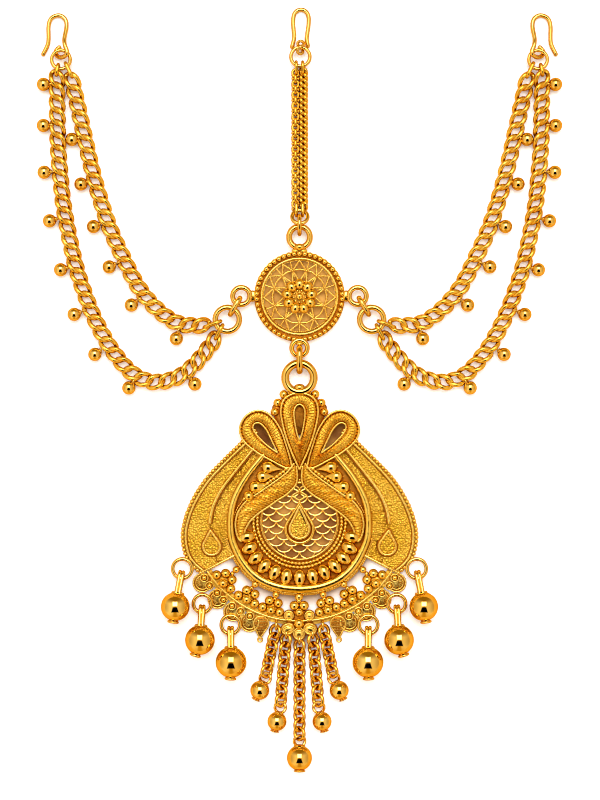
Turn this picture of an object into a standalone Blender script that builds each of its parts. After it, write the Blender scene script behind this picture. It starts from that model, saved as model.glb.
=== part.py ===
"""Matha patti: a gold forehead jewel, laid flat on its back.

The jewel lies on the plane z = 0. +Y runs up the parting towards the centre hook, +X to
the right side chains, +Z out of the front. Every size below is in millimetres.
"""

import math

import bmesh
import bpy
from mathutils import Matrix, Vector

MM = 0.001
GAP = 0.3
LINK_PLAY = 0.45
FLAT_ANGLE = math.radians(0.2)
SHARP_ANGLE = math.radians(35.0)
SAME_POINT = 0.000001
CURVE_STEPS = 16

# wires and tubes
HOOK_WIRE = 1.06
TOP_RING_WIRE = 1.0
CHAIN_TUBE = 3.6
CHAIN_HEIGHT = 2.0
CHAIN_BEAD = 3.75
END_LINK_WIRE = 0.9
TASSEL_TUBE = 2.8
TASSEL_HEIGHT = 1.6
STRAND_TUBE = 2.3
STRAND_HEIGHT = 1.75
STRAND_TOP = 89.9
STRAND_BOTTOM = 51.1
STRAND_LINK_WIRE = 0.7
CROWN_LINK_OFFSET = 0.9
CROWN_LINK_PLAY = 0.5

# heights of the flat rings above the table
TOP_RING_HEIGHT = 2.1
JOIN_HEIGHT = 2.6
PENDANT_HEIGHT = 3.1
DROP_RING_HEIGHT = 2.2

# medallion
MEDALLION_CENTRE = (0.0, 26.2)
MEDALLION_RADIUS = 12.75
MEDALLION_RIM_INNER = 10.3
MEDALLION_RIM_TOP = 3.4
NET_LOW = 1.0
NET_HIGH = 1.9
NET_SECTORS = 12
NET_INNER = 4.4
NET_MIDDLE = 7.3
NET_OUTER = 10.4
NET_WIRE = 0.42
FLOWER_RADIUS = 4.4
FLOWER_VALLEY = 3.7
FLOWER_BEADS = 9
FLOWER_TOP = 2.9

# plaque
BACK_LOW = 0.0
PLATE_TOP = 1.2
WING_TOP = 2.0
RIM_TOP = 2.6
BAND_TOP = 3.4
BAND_WIDTH = 3.0
BAND_LOW = 0.1
PETAL_TOP = 4.2
LEAF_TOP = 3.9
FRINGE_TOP = 2.1
CLUSTER_TOP = 2.4
SCALE_WIDTH = 4.35
SCALE_ROW = 1.72
SCALE_WIRE = 0.45
NET_CIRCLE = (0.0, -36.7)
NET_CIRCLE_RADIUS = 10.7
ARC_CENTRE = (0.0, -33.9)
ARC_RADIUS = 30.8
ARC_HALF_ANGLE = math.radians(60.0)
ARC_STEPS = 16
BEAD_ROW_CENTRE = (0.0, -37.6)
BEAD_ROW_RADIUS = 14.7
BEAD_ROW_HALF_ANGLE = math.radians(103.0)
BEAD_ROW_STEPS = 12

OUTER_ROUTE = [
    (-67.9, 84.4), (-67.8, 76.0), (-67.6, 68.0), (-67.0, 60.5), (-66.2, 52.6),
    (-64.8, 44.5), (-62.6, 34.6), (-60.0, 26.6), (-56.8, 18.8), (-52.4, 11.1),
    (-46.9, 4.8), (-41.0, 2.3), (-34.4, 3.5), (-29.2, 7.4),
]
OUTER_BEADS = [
    (-71.7, 85.6), (-71.7, 74.1), (-71.5, 61.0), (-70.0, 47.4), (-66.9, 33.7),
    (-63.1, 21.2), (-57.3, 10.0), (-47.8, 0.6), (-29.3, 1.7),
]
INNER_ROUTE = [
    (-62.1, 79.6), (-60.3, 71.5), (-58.3, 62.6), (-55.9, 53.8), (-53.1, 45.4),
    (-49.7, 37.8), (-45.3, 29.2), (-39.9, 22.7), (-33.6, 18.6),
]
INNER_BEADS = [
    (-63.75, 70.2), (-61.2, 57.7), (-57.7, 45.8), (-53.3, 34.5), (-47.1, 23.8), (-34.5, 14.4),
]

SIDE_RING = (-66.8, 92.5)
SIDE_RING_RADIUS = 2.6
CENTRE_RING = (0.25, 93.3)
CENTRE_RING_RADIUS = 2.66
CROWN_RING = (0.1, 48.4)
CROWN_RING_RADIUS = 2.2
CROWN_RING_WIRE = 1.06
CROWN_TILT = 30.0
CROWN_RING_HEIGHT = 3.2
CROWN_LINK = (0.0, 46.1, 3.6)
CROWN_LINK_RADIUS = 2.45
CROWN_LINK_WIRE = 1.0

MEDALLION_TOP_RING = (0.0, 42.8, 2.9)
MEDALLION_TOP_RING_RADIUS = 2.92
MEDALLION_TOP_RING_WIRE = 1.65
MEDALLION_SIDE_RING = (-16.3, 26.3)
MEDALLION_SIDE_RING_RADIUS = 2.41
MEDALLION_SIDE_RING_WIRE = 1.45
MEDALLION_BOTTOM_RING = (0.0, 11.75)
MEDALLION_BOTTOM_RING_RADIUS = 2.2
MEDALLION_BOTTOM_RING_WIRE = 1.36
SIDE_LINK_RADIUS = 1.76
SIDE_LINK_WIRE = 1.4
PENDANT_LINK_RADIUS = 2.2
PENDANT_LINK_WIRE = 1.75
CONNECTOR = (-20.2, 19.75)
CONNECTOR_RADIUS = 3.37
CONNECTOR_WIRE = 1.57
LARGE_RING = (0.0, 3.45)
LARGE_RING_RADIUS = 4.0
LARGE_RING_WIRE = 2.2

SIDE_HOOK_ROUTE = [
    (-71.9, 94.2, 0.6), (-70.5, 97.4, 0.6), (-70.4, 102.0, 0.6), (-69.6, 104.3, 0.6),
    (-67.5, 105.1, 0.7), (-65.8, 104.1, 0.8), (-65.3, 102.0, 1.2), (-65.8, 98.4, 2.4),
    (-65.6, 96.4, 3.1), (-65.0, 94.8, 3.4), (-65.2, 93.7, 3.3), (-66.6, 93.1, 2.1),
    (-68.1, 93.8, 1.0), (-68.3, 95.1, 0.8), (-67.4, 96.1, 0.8),
]
CENTRE_HOOK_ROUTE = [
    (-2.2, 96.4, 0.6), (-1.5, 99.0, 0.6), (-1.9, 103.0, 0.6), (-1.2, 105.6, 0.6),
    (0.7, 106.7, 0.7), (2.4, 105.0, 0.9), (2.7, 102.6, 1.3), (2.2, 99.6, 2.3),
    (2.2, 97.2, 3.1), (1.8, 95.5, 3.4), (1.5, 94.3, 3.3), (0.3, 93.7, 2.1),
    (-0.9, 94.4, 1.0), (-1.1, 95.7, 0.8), (-0.6, 97.0, 0.8), (0.4, 97.6, 0.9), (1.1, 96.9, 1.0),
]

DROPS = [
    {"ring": (-32.8, -50.0), "radius": 2.7, "ball": (-34.7, -60.5), "size": 8.0, "cap": (-0.14, -0.99)},
    {"ring": (-27.2, -59.8), "radius": 2.5, "ball": (-27.8, -69.8), "size": 8.3, "cap": (-0.29, -0.96)},
    {"ring": (-19.3, -65.7), "radius": 2.6, "ball": (-19.1, -76.0), "size": 8.6, "cap": (-0.04, -1.0)},
]
DROP_RING_WIRE = 1.06
BAIL_WIRE = 1.1
BAIL_RADIUS = 1.52
BAIL_RISE = 0.7
DROP_CAP = 3.4

TASSELS = [
    {"loop": (-6.5, -65.9), "ring": (-9.6, -80.7), "ball": (-11.1, -84.0), "size": 5.3, "cap": False},
    {"loop": (-3.7, -68.3), "ring": (-5.4, -88.9), "ball": (-6.3, -92.7), "size": 5.3, "cap": False},
    {"loop": (0.0, -69.9), "ring": (0.0, -98.3), "ball": (0.0, -102.8), "size": 7.0, "cap": True},
]
TASSEL_LOOP_RADIUS = 1.2
TASSEL_LINK_RADIUS = 1.45
TASSEL_LINK_WIRE = 0.75


def clear_scene():
    """Remove whatever the file already holds."""
    for item in list(bpy.data.objects):
        bpy.data.objects.remove(item, do_unlink=True)


def gold(name, colour, roughness):
    """A polished or matte gold, metallic all through."""
    material = bpy.data.materials.new(name)
    material.use_nodes = True
    shader = material.node_tree.nodes["Principled BSDF"]
    shader.inputs["Base Color"].default_value = (*colour, 1.0)
    shader.inputs["Metallic"].default_value = 1.0
    shader.inputs["Roughness"].default_value = roughness
    return material


def unit(x, y):
    """The flat direction (x, y) at length one."""
    length = math.hypot(x, y)
    return x / length, y / length


def mirrored(points):
    """The same points on the other side of the middle line."""
    return [(-point[0], *point[1:]) for point in points]


def make_object(name, mesh):
    """Put a mesh in the scene as an object."""
    piece = bpy.data.objects.new(name, mesh)
    bpy.context.scene.collection.objects.link(piece)
    return piece


def from_bmesh(name, shape):
    """Turn a closed bmesh in millimetres into an object in metres."""
    bmesh.ops.scale(shape, vec=(MM, MM, MM), verts=shape.verts)
    bmesh.ops.recalc_face_normals(shape, faces=shape.faces)
    mesh = bpy.data.meshes.new(name)
    shape.to_mesh(mesh)
    shape.free()
    return make_object(name, mesh)


def prism(outline, low, high):
    """An upright solid over a flat outline."""
    shape = bmesh.new()
    bottom = [shape.verts.new((x, y, low)) for x, y in outline]
    face = shape.faces.new(bottom)
    grown = bmesh.ops.extrude_face_region(shape, geom=[face])
    top = [item for item in grown["geom"] if isinstance(item, bmesh.types.BMVert)]
    bmesh.ops.translate(shape, vec=(0.0, 0.0, high - low), verts=top)
    return from_bmesh("prism", shape)


def stud(centre, size, low, high, turn=0.0, segments=10):
    """A low round or oval bead that stands on a plate."""
    shape = bmesh.new()
    middle = low + (high - low) * 0.55
    spread = Matrix.Rotation(turn, 3, "Z") @ Matrix.Diagonal((size[0] / 2, size[1] / 2, 1.0))
    foot = []
    shoulder = []
    for step in range(segments):
        angle = math.tau * step / segments
        place = spread @ Vector((math.cos(angle), math.sin(angle), 0.0))
        foot.append(shape.verts.new((centre[0] + place.x, centre[1] + place.y, low)))
        shoulder.append(shape.verts.new((centre[0] + place.x, centre[1] + place.y, middle)))
    peak = shape.verts.new((*centre, high))
    shape.faces.new(foot[::-1])
    for step in range(segments):
        other = (step + 1) % segments
        shape.faces.new((foot[step], foot[other], shoulder[other], shoulder[step]))
        shape.faces.new((shoulder[step], shoulder[other], peak))
    return from_bmesh("stud", shape)


def ball(centre, size, segments=10, rings=6):
    """A round ball."""
    shape = bmesh.new()
    bmesh.ops.create_uvsphere(shape, u_segments=segments, v_segments=rings, radius=size / 2)
    bmesh.ops.translate(shape, vec=centre, verts=shape.verts)
    return from_bmesh("ball", shape)


def hung_bead(centre, carrier, size):
    """A round bead whose near pole is drawn out as a neck to the point that carries it."""
    shape = bmesh.new()
    bmesh.ops.create_uvsphere(shape, u_segments=10, v_segments=4, radius=size / 2)
    shape.verts.ensure_lookup_table()
    pole = max(shape.verts, key=lambda vertex: vertex.co.z)
    reach = Vector(carrier) - Vector(centre)
    pole.co.z = reach.length
    turn = reach.to_track_quat("Z", "Y").to_matrix().to_4x4()
    bmesh.ops.transform(shape, matrix=Matrix.Translation(centre) @ turn, verts=shape.verts)
    return from_bmesh("bead", shape)


def ring(centre, radius, wire, along=(1.0, 0.0, 0.0), normal=(0.0, 0.0, 1.0), stretch=0.0,
         segments=10, sides=5):
    """A wire ring, or a long link where stretch parts its two round ends."""
    along = Vector(along).normalized()
    normal = Vector(normal).normalized()
    across = normal.cross(along)
    shape = bmesh.new()
    loops = []
    for step in range(segments):
        angle = math.tau * (step + 0.5) / segments
        outward = along * math.cos(angle) + across * math.sin(angle)
        shift = along * math.copysign(stretch / 2, math.cos(angle))
        middle = Vector(centre) + shift + outward * radius
        loop = []
        for side in range(sides):
            turn = math.tau * side / sides
            spoke = outward * math.cos(turn) + normal * math.sin(turn)
            loop.append(shape.verts.new(middle + spoke * (wire / 2)))
        loops.append(loop)
    for step in range(segments):
        here = loops[step]
        there = loops[(step + 1) % segments]
        for side in range(sides):
            other = (side + 1) % sides
            shape.faces.new((here[side], there[side], there[other], here[other]))
    return from_bmesh("ring", shape)


def upright_link(start, end, height, radius, wire, segments=10, sides=5):
    """An edge-on link whose two round ends are centred on start and end."""
    along = Vector((end[0] - start[0], end[1] - start[1], 0.0))
    middle = ((start[0] + end[0]) / 2, (start[1] + end[1]) / 2, height)
    normal = along.cross(Vector((0.0, 0.0, 1.0)))
    return ring(middle, radius, wire, along, normal, along.length, segments, sides)


def rod(start, end, diameter, sides=8):
    """A short straight bar between two points."""
    start = Vector(start)
    end = Vector(end)
    axis = end - start
    shape = bmesh.new()
    bmesh.ops.create_cone(shape, cap_ends=True, segments=sides, radius1=diameter / 2,
                          radius2=diameter / 2, depth=axis.length)
    turn = axis.to_track_quat("Z", "Y").to_matrix().to_4x4()
    place = Matrix.Translation((start + end) / 2) @ turn
    bmesh.ops.transform(shape, matrix=place, verts=shape.verts)
    return from_bmesh("rod", shape)


def smooth_route(points, spacing):
    """Points at an even spacing on a smooth curve through the route's own points."""
    knots = [Vector(point) for point in points]
    before = knots[0] * 2 - knots[1]
    after = knots[-1] * 2 - knots[-2]
    padded = [before, *knots, after]
    fine = []
    for index in range(1, len(padded) - 2):
        p0, p1, p2, p3 = padded[index - 1:index + 3]
        for step in range(CURVE_STEPS):
            t = step / CURVE_STEPS
            fine.append(0.5 * (2 * p1 + (p2 - p0) * t + (2 * p0 - 5 * p1 + 4 * p2 - p3) * t * t
                               + (3 * p1 - p0 - 3 * p2 + p3) * t * t * t))
    fine.append(knots[-1])
    lengths = [0.0]
    for first, second in zip(fine, fine[1:]):
        lengths.append(lengths[-1] + (second - first).length)
    count = max(2, round(lengths[-1] / spacing))
    route = []
    place = 0
    for step in range(count + 1):
        wanted = lengths[-1] * step / count
        while place < len(fine) - 2 and lengths[place + 1] < wanted:
            place += 1
        part = (wanted - lengths[place]) / (lengths[place + 1] - lengths[place])
        route.append(fine[place].lerp(fine[place + 1], part))
    return route


def tube(points, diameter, spacing, resolution=2):
    """A round bar along a smooth route, closed at both ends."""
    curve = bpy.data.curves.new("tube", "CURVE")
    curve.dimensions = "3D"
    curve.bevel_depth = diameter * MM / 2
    curve.bevel_resolution = resolution
    curve.use_fill_caps = True
    route = smooth_route(points, spacing)
    spline = curve.splines.new("POLY")
    spline.points.add(len(route) - 1)
    for point, place in zip(spline.points, route):
        point.co = (*(place * MM), 1.0)
    guide = make_object("tube", curve)
    depsgraph = bpy.context.evaluated_depsgraph_get()
    mesh = bpy.data.meshes.new_from_object(guide.evaluated_get(depsgraph))
    bpy.data.objects.remove(guide, do_unlink=True)
    shape = bmesh.new()
    shape.from_mesh(mesh)
    bmesh.ops.remove_doubles(shape, verts=shape.verts, dist=SAME_POINT)
    bmesh.ops.recalc_face_normals(shape, faces=shape.faces)
    shape.to_mesh(mesh)
    shape.free()
    return make_object("tube", mesh)


def merge_flat_faces(mesh):
    """Join neighbouring faces that lie in one plane, which the solver leaves split."""
    shape = bmesh.new()
    shape.from_mesh(mesh)
    bmesh.ops.remove_doubles(shape, verts=shape.verts, dist=SAME_POINT)
    bmesh.ops.dissolve_limit(shape, angle_limit=FLAT_ANGLE, verts=shape.verts, edges=shape.edges)
    bmesh.ops.triangulate(shape, faces=shape.faces)
    shape.to_mesh(mesh)
    shape.free()
    return mesh


def combine(base, others, operation):
    """Join the others to the base, or cut them out of it, into one closed body."""
    group = bpy.data.collections.new("operands")
    bpy.context.scene.collection.children.link(group)
    for other in others:
        group.objects.link(other)
    modifier = base.modifiers.new("combine", "BOOLEAN")
    modifier.operand_type = "COLLECTION"
    modifier.collection = group
    modifier.solver = "EXACT"
    modifier.operation = operation
    depsgraph = bpy.context.evaluated_depsgraph_get()
    mesh = bpy.data.meshes.new_from_object(base.evaluated_get(depsgraph))
    base.modifiers.clear()
    base.data = merge_flat_faces(mesh)
    for other in others:
        bpy.data.objects.remove(other, do_unlink=True)
    bpy.data.collections.remove(group)
    return base


def finish(piece, name, material):
    """Name a finished piece and give it its metal and its smooth shading."""
    piece.name = name
    piece.data.name = name
    piece.data.materials.clear()
    piece.data.materials.append(material)
    piece.data.shade_smooth()
    piece.data.set_sharp_from_angle(angle=SHARP_ANGLE)
    return piece


def fuse(name, pieces, material):
    """Solder pieces into one named body."""
    body = combine(pieces[0], pieces[1:], "UNION")
    return finish(body, name, material)


def strip(points, width, low, high):
    """A flat band of even width along a line."""
    left = []
    right = []
    for index, (x, y) in enumerate(points):
        before = points[max(index - 1, 0)]
        after = points[min(index + 1, len(points) - 1)]
        dx, dy = unit(after[0] - before[0], after[1] - before[1])
        left.append((x - dy * width / 2, y + dx * width / 2))
        right.append((x + dy * width / 2, y - dx * width / 2))
    return prism(left + right[::-1], low, high)


def round_outline(centre, radius, count, start=0.0):
    """Points of a regular polygon close to a circle."""
    return [
        (centre[0] + radius * math.cos(start + math.tau * step / count),
         centre[1] + radius * math.sin(start + math.tau * step / count))
        for step in range(count)
    ]


def teardrop(tip, end_centre, radius, count=9):
    """An outline with a point at its tip and a round end."""
    dx, dy = unit(end_centre[0] - tip[0], end_centre[1] - tip[1])
    length = math.hypot(end_centre[0] - tip[0], end_centre[1] - tip[1])
    spread = math.acos(radius / length)
    heading = math.atan2(-dy, -dx)
    first = heading + spread
    sweep = math.tau - 2 * spread
    outline = [tip]
    for step in range(count):
        angle = first + sweep * step / (count - 1)
        outline.append((end_centre[0] + radius * math.cos(angle),
                        end_centre[1] + radius * math.sin(angle)))
    return outline


def shrunk(outline, amount):
    """A convex outline moved inwards by the same amount on every side."""
    area = sum(a[0] * b[1] - b[0] * a[1] for a, b in zip(outline, outline[1:] + outline[:1]))
    points = outline if area > 0 else outline[::-1]
    count = len(points)
    moved = []
    for index in range(count):
        before = Vector(points[index - 1])
        here = Vector(points[index])
        after = Vector(points[(index + 1) % count])
        first = (here - before).normalized()
        second = (after - here).normalized()
        inward_first = Vector((-first.y, first.x))
        inward_second = Vector((-second.y, second.x))
        bisector = (inward_first + inward_second).normalized()
        reach = amount / max(bisector.dot(inward_first), 0.3)
        moved.append(tuple(here + bisector * reach))
    return moved


def polar(centre, radius, angle):
    """The point at a radius and angle round a centre."""
    return centre[0] + radius * math.cos(angle), centre[1] + radius * math.sin(angle)


def hook(name, route, material):
    """A bent wire hook whose eye turns once round the top ring."""
    return finish(tube(route, HOOK_WIRE, 1.7, resolution=1), name, material)


def chain_with_beads(name, route, beads, links, material):
    """A side chain as a round bar, with its end links and its hanging beads."""
    route = [(x, y, CHAIN_HEIGHT) for x, y in route]
    pieces = [tube(route, CHAIN_TUBE, CHAIN_TUBE * 2.1)]
    line = smooth_route(route, 1.0)
    for x, y in beads:
        middle = Vector((x, y, CHAIN_BEAD / 2))
        nearest = min(line, key=lambda point: (point - middle).length)
        pieces.append(hung_bead(middle, nearest, CHAIN_BEAD))
    for link in links:
        pieces.append(upright_link(*link, END_LINK_WIRE))
    return fuse(name, pieces, material)


def side_chains(side, flip, material):
    """Both chains of one side, threaded on the top ring and the connector ring."""
    x, y = SIDE_RING
    outer_top = (x - 0.9, y - 2.44)
    inner_top = (x + 1.75, y - 1.92)
    outer_start = (-67.85, 88.5)
    inner_start = (-63.7, 87.1)
    outer_end = (-23.75, 14.1)
    inner_end = (-25.2, 18.2)
    dx, dy = unit(outer_end[0] - CONNECTOR[0], outer_end[1] - CONNECTOR[1])
    outer_low = (CONNECTOR[0] + dx * CONNECTOR_RADIUS, CONNECTOR[1] + dy * CONNECTOR_RADIUS)
    dx, dy = unit(inner_end[0] - CONNECTOR[0], inner_end[1] - CONNECTOR[1])
    inner_low = (CONNECTOR[0] + dx * CONNECTOR_RADIUS, CONNECTOR[1] + dy * CONNECTOR_RADIUS)
    top_radius = (TOP_RING_WIRE + END_LINK_WIRE) / 2 + LINK_PLAY
    low_radius = (CONNECTOR_WIRE + END_LINK_WIRE) / 2 + LINK_PLAY
    runs = [
        ("outer_chain_" + side, [outer_start, *OUTER_ROUTE, outer_end], OUTER_BEADS,
         (outer_top, (outer_top[0], outer_top[1] - 0.4)), (outer_low, (-22.8, 15.6))),
        ("inner_chain_" + side, [inner_start, *INNER_ROUTE, inner_end], INNER_BEADS,
         (inner_top, (-64.15, 88.4)), (inner_low, (inner_low[0] - 0.4, inner_low[1] - 0.1))),
    ]
    for name, route, beads, top, low in runs:
        if flip:
            route = mirrored(route)
            beads = mirrored(beads)
            top = mirrored(top)
            low = mirrored(low)
        links = [
            (top[0], top[1], TOP_RING_HEIGHT, top_radius),
            (low[0], low[1], JOIN_HEIGHT, low_radius),
        ]
        chain_with_beads(name, route, beads, links, material)


def ball_drop(name, drop, flip, material):
    """A polished ball with its long bail through the drop ring and its end cap."""
    sign = -1.0 if flip else 1.0
    ring_x, ring_y = drop["ring"]
    ball_x, ball_y = drop["ball"]
    size = drop["size"]
    dx, dy = unit(ball_x - ring_x, ball_y - ring_y)
    wire = Vector((ring_x + dx * drop["radius"], ring_y + dy * drop["radius"], DROP_RING_HEIGHT))
    centre = Vector((ball_x, ball_y, size / 2))
    eye = wire - Vector((dx, dy, 0.0)) * BAIL_RISE
    foot = centre + (wire - centre).normalized() * (size / 2 - BAIL_RADIUS)
    along = foot - eye
    normal = along.cross(Vector((0.0, 0.0, 1.0)))
    middle = (eye + foot) / 2
    cap_x, cap_y = drop["cap"]
    cap = Vector((cap_x, cap_y, 0.0)).normalized()
    for vector in (middle, along, normal, centre, cap):
        vector.x *= sign
    pieces = [
        ball(centre, size),
        ring(middle, BAIL_RADIUS, BAIL_WIRE, along, normal, along.length),
        rod(centre + cap * (size / 2 - 0.6), centre + cap * (size / 2 + 0.7), DROP_CAP),
    ]
    return fuse(name, pieces, material)


def tassel(number, item, flip, chain_material, ball_material):
    """One hanging chain of the tassel as a round bar, and the ball with its ring below it."""
    sign = -1.0 if flip else 1.0
    loop = Vector((item["loop"][0] * sign, item["loop"][1], TASSEL_HEIGHT))
    low = Vector((item["ring"][0] * sign, item["ring"][1], TASSEL_HEIGHT))
    middle = Vector((item["ball"][0] * sign, item["ball"][1], item["size"] / 2))
    wire = TASSEL_LINK_WIRE
    down = (low - loop).normalized()
    start = loop + down * (TASSEL_LOOP_RADIUS + wire / 2 + GAP)
    end = low - down * (TASSEL_LINK_RADIUS + wire / 2 + GAP)
    finish(tube([start, end], TASSEL_TUBE, TASSEL_TUBE * 2.8), "tassel_chain_" + str(number), chain_material)
    size = item["size"]
    end_pieces = [
        ball(middle, size, rings=5),
        ring(low, TASSEL_LINK_RADIUS, wire),
    ]
    if item["cap"]:
        away = Vector((middle.x - low.x, middle.y - low.y, 0.0)).normalized()
        cap_start = middle + away * (size / 2 - 0.5)
        cap_end = middle + away * (size / 2 + 0.5)
        end_pieces.append(rod(cap_start, cap_end, size * 0.45))
    fuse("tassel_ball_" + str(number), end_pieces, ball_material)


def centre_chain(material):
    """Two fine strands side by side, with end links on the rings above and below."""
    x_offset = STRAND_TUBE / 2 - 0.05
    pieces = []
    for x in (-x_offset, x_offset):
        ends = [(x, STRAND_TOP, STRAND_HEIGHT), (x, STRAND_BOTTOM, STRAND_HEIGHT)]
        pieces.append(tube(ends, STRAND_TUBE, STRAND_TUBE * 2.8))
    wire = STRAND_LINK_WIRE
    x = CENTRE_RING[0]
    y = CENTRE_RING[1] - CENTRE_RING_RADIUS
    radius = (TOP_RING_WIRE + wire) / 2 + LINK_PLAY
    pieces.append(upright_link((x, y), (x, y - 0.1), TOP_RING_HEIGHT, radius, wire))
    tilt = math.radians(CROWN_TILT)
    radius = (CROWN_RING_WIRE + wire) / 2 + CROWN_LINK_PLAY
    for x in (-CROWN_LINK_OFFSET, CROWN_LINK_OFFSET):
        rise = math.sqrt(CROWN_RING_RADIUS ** 2 - x ** 2)
        y = CROWN_RING[1] + rise * math.cos(tilt)
        z = CROWN_RING_HEIGHT - rise * math.sin(tilt)
        pieces.append(upright_link((x, y), (x, y + 0.3), z, radius, wire))
    return fuse("centre_chain", pieces, material)


def net_gaps(centre):
    """The three-sided gaps between the wires of the medallion's net."""
    gaps = []
    step = math.tau / NET_SECTORS
    for sector in range(NET_SECTORS):
        here = sector * step
        inner = polar(centre, NET_INNER, here + step / 2)
        inner_next = polar(centre, NET_INNER, here + step * 1.5)
        node = polar(centre, NET_MIDDLE, here)
        node_next = polar(centre, NET_MIDDLE, here + step)
        outer = polar(centre, NET_OUTER, here + step / 2)
        outer_next = polar(centre, NET_OUTER, here + step * 1.5)
        gaps.append([inner, node, node_next])
        gaps.append([inner, node_next, inner_next])
        gaps.append([outer, node, node_next])
        gaps.append([outer, node_next, outer_next])
    return [shrunk(gap, NET_WIRE / 2) for gap in gaps]


def medallion(material):
    """The round openwork disc with its bead flower and its four soldered rings."""
    centre = MEDALLION_CENTRE
    rim = prism(round_outline(centre, MEDALLION_RADIUS, 30), BACK_LOW, MEDALLION_RIM_TOP)
    rim = combine(rim, [prism(round_outline(centre, MEDALLION_RIM_INNER, 24), -1.0, 5.0)], "DIFFERENCE")
    net = prism(round_outline(centre, MEDALLION_RIM_INNER + 0.4, 24), NET_LOW, NET_HIGH)
    cutters = [prism(gap, NET_LOW - 1.0, NET_HIGH + 1.0) for gap in net_gaps(centre)]
    net = combine(net, cutters, "DIFFERENCE")
    pieces = [rim, net]
    pieces.append(rosette(centre, FLOWER_BEADS, FLOWER_RADIUS, FLOWER_VALLEY, NET_LOW + 0.2, FLOWER_TOP))
    pieces.append(stud(centre, (3.0, 3.0), 2.0, 3.5))
    pieces.append(ring(MEDALLION_TOP_RING, MEDALLION_TOP_RING_RADIUS, MEDALLION_TOP_RING_WIRE))
    pieces.append(ring((*MEDALLION_BOTTOM_RING, PENDANT_HEIGHT), MEDALLION_BOTTOM_RING_RADIUS,
                       MEDALLION_BOTTOM_RING_WIRE))
    pieces.append(stud((0.0, 39.4), (2.8, 2.8), 1.2, 3.7))
    for sign in (-1.0, 1.0):
        x = -sign * MEDALLION_SIDE_RING[0]
        pieces.append(ring((x, MEDALLION_SIDE_RING[1], JOIN_HEIGHT), MEDALLION_SIDE_RING_RADIUS,
                           MEDALLION_SIDE_RING_WIRE))
        pieces.append(stud((sign * 13.2, centre[1]), (2.4, 2.8), 1.3, 3.6))
    return fuse("medallion", pieces, material)


def net_is_open(x, y):
    """Whether a point of the plaque's net lies clear of its rim, the leaves and the drop."""
    in_circle = math.hypot(x, y - NET_CIRCLE[1]) < NET_CIRCLE_RADIUS - 0.5
    below_leaf = y < min(-30.6, -28.0 - abs(x) * 0.68)
    drop_half = 4.2
    if y > -39.2:
        drop_half *= (-31.2 - y) / 8.0
    below_drop = y < -43.6
    return in_circle and below_leaf and (abs(x) > drop_half or below_drop)


def scale_gaps():
    """The fish-scale gaps of the plaque's net, row by row."""
    gaps = []
    half = SCALE_WIDTH / 2
    for row in range(-6, 7):
        for column in range(-5, 6):
            if (row + column) % 2:
                continue
            x = NET_CIRCLE[0] + column * half
            y = NET_CIRCLE[1] - row * SCALE_ROW
            corners = [(x, y + SCALE_ROW), (x - half, y), (x, y - SCALE_ROW), (x + half, y)]
            gap = shrunk(corners, SCALE_WIRE / 2)
            if sum(net_is_open(*corner) for corner in gap) >= 3:
                gaps.append(gap)
    return gaps


WING_OUTLINE = [
    (-15.2, -13.4), (-21.4, -19.3), (-26.2, -24.4), (-29.6, -29.5), (-31.8, -34.3),
    (-33.0, -39.0), (-33.0, -42.8), (-32.0, -46.8), (-30.2, -49.4), (-27.9, -51.4),
    (-18.3, -46.4), (-18.9, -41.0), (-19.0, -36.4), (-18.2, -31.0), (-15.6, -25.0), (-10.5, -18.2),
]
BAND_LINE = [
    (-11.6, -18.9), (-13.9, -22.4), (-16.8, -28.0), (-18.6, -33.6), (-19.1, -38.0),
    (-18.3, -43.2), (-16.4, -47.6), (-13.6, -50.9), (-9.8, -53.6), (-5.0, -55.2), (0.0, -55.7),
]
LEAF_OUTLINE = [
    (-1.3, -20.6), (-3.5, -23.1), (-6.9, -26.1), (-11.2, -28.7), (-15.0, -30.8),
    (-17.2, -33.8), (-17.8, -37.3), (-17.4, -40.7), (-16.3, -42.0), (-15.5, -40.7),
    (-13.3, -37.3), (-10.3, -34.3), (-6.0, -31.7), (-3.5, -29.5), (-1.3, -27.0), (-0.7, -24.0),
]
RIB_LINE = [(-13.0, -16.6), (-19.3, -24.4), (-22.5, -28.9), (-24.5, -33.6), (-25.3, -39.2)]
CLUSTERS = [(-21.2, -53.4), (-14.6, -58.4), (-8.0, -61.4)]
CLUSTER_LINKS = [(-17.5, -50.0), (-12.5, -54.4), (-6.7, -57.0)]
SCALLOPS = [(-28.1, -53.6), (-23.1, -58.7), (-18.6, -62.2), (-14.3, -65.0)]
PETAL_SIDE = {"tip": (-2.4, -21.4), "end": (-11.7, -10.6), "radius": 4.75}
PETAL_CENTRE = {"tip": (0.0, -22.4), "end": (0.0, -6.1), "radius": 5.1}
WING_DROPS = [(-8.6, -21.4), (-10.2, -24.2), (-12.4, -27.2)]
PETAL_GRANULES = [(-4.4, -1.2), (-6.1, -3.6), (-6.8, -6.2)]


def petal(tip, end, radius):
    """A raised teardrop petal with a teardrop window."""
    body = prism(teardrop(tip, end, radius), 0.5, PETAL_TOP)
    hole_tip = (tip[0] + (end[0] - tip[0]) * 0.42, tip[1] + (end[1] - tip[1]) * 0.42)
    hole = prism(teardrop(hole_tip, end, radius * 0.32, count=6), -1.0, PETAL_TOP + 1.0)
    return body, hole


def rosette(centre, lobes, radius, valley, low, high):
    """A ring of touching lobes as one low solid; valley is the radius between two lobes."""
    outline = []
    step = math.tau / lobes
    for lobe in range(lobes):
        angle = step * lobe + math.pi / 2
        outline.append(polar(centre, valley, angle - step / 2))
        outline.append(polar(centre, radius, angle - step * 0.18))
        outline.append(polar(centre, radius, angle + step * 0.18))
    return prism(outline, low, high)


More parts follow.
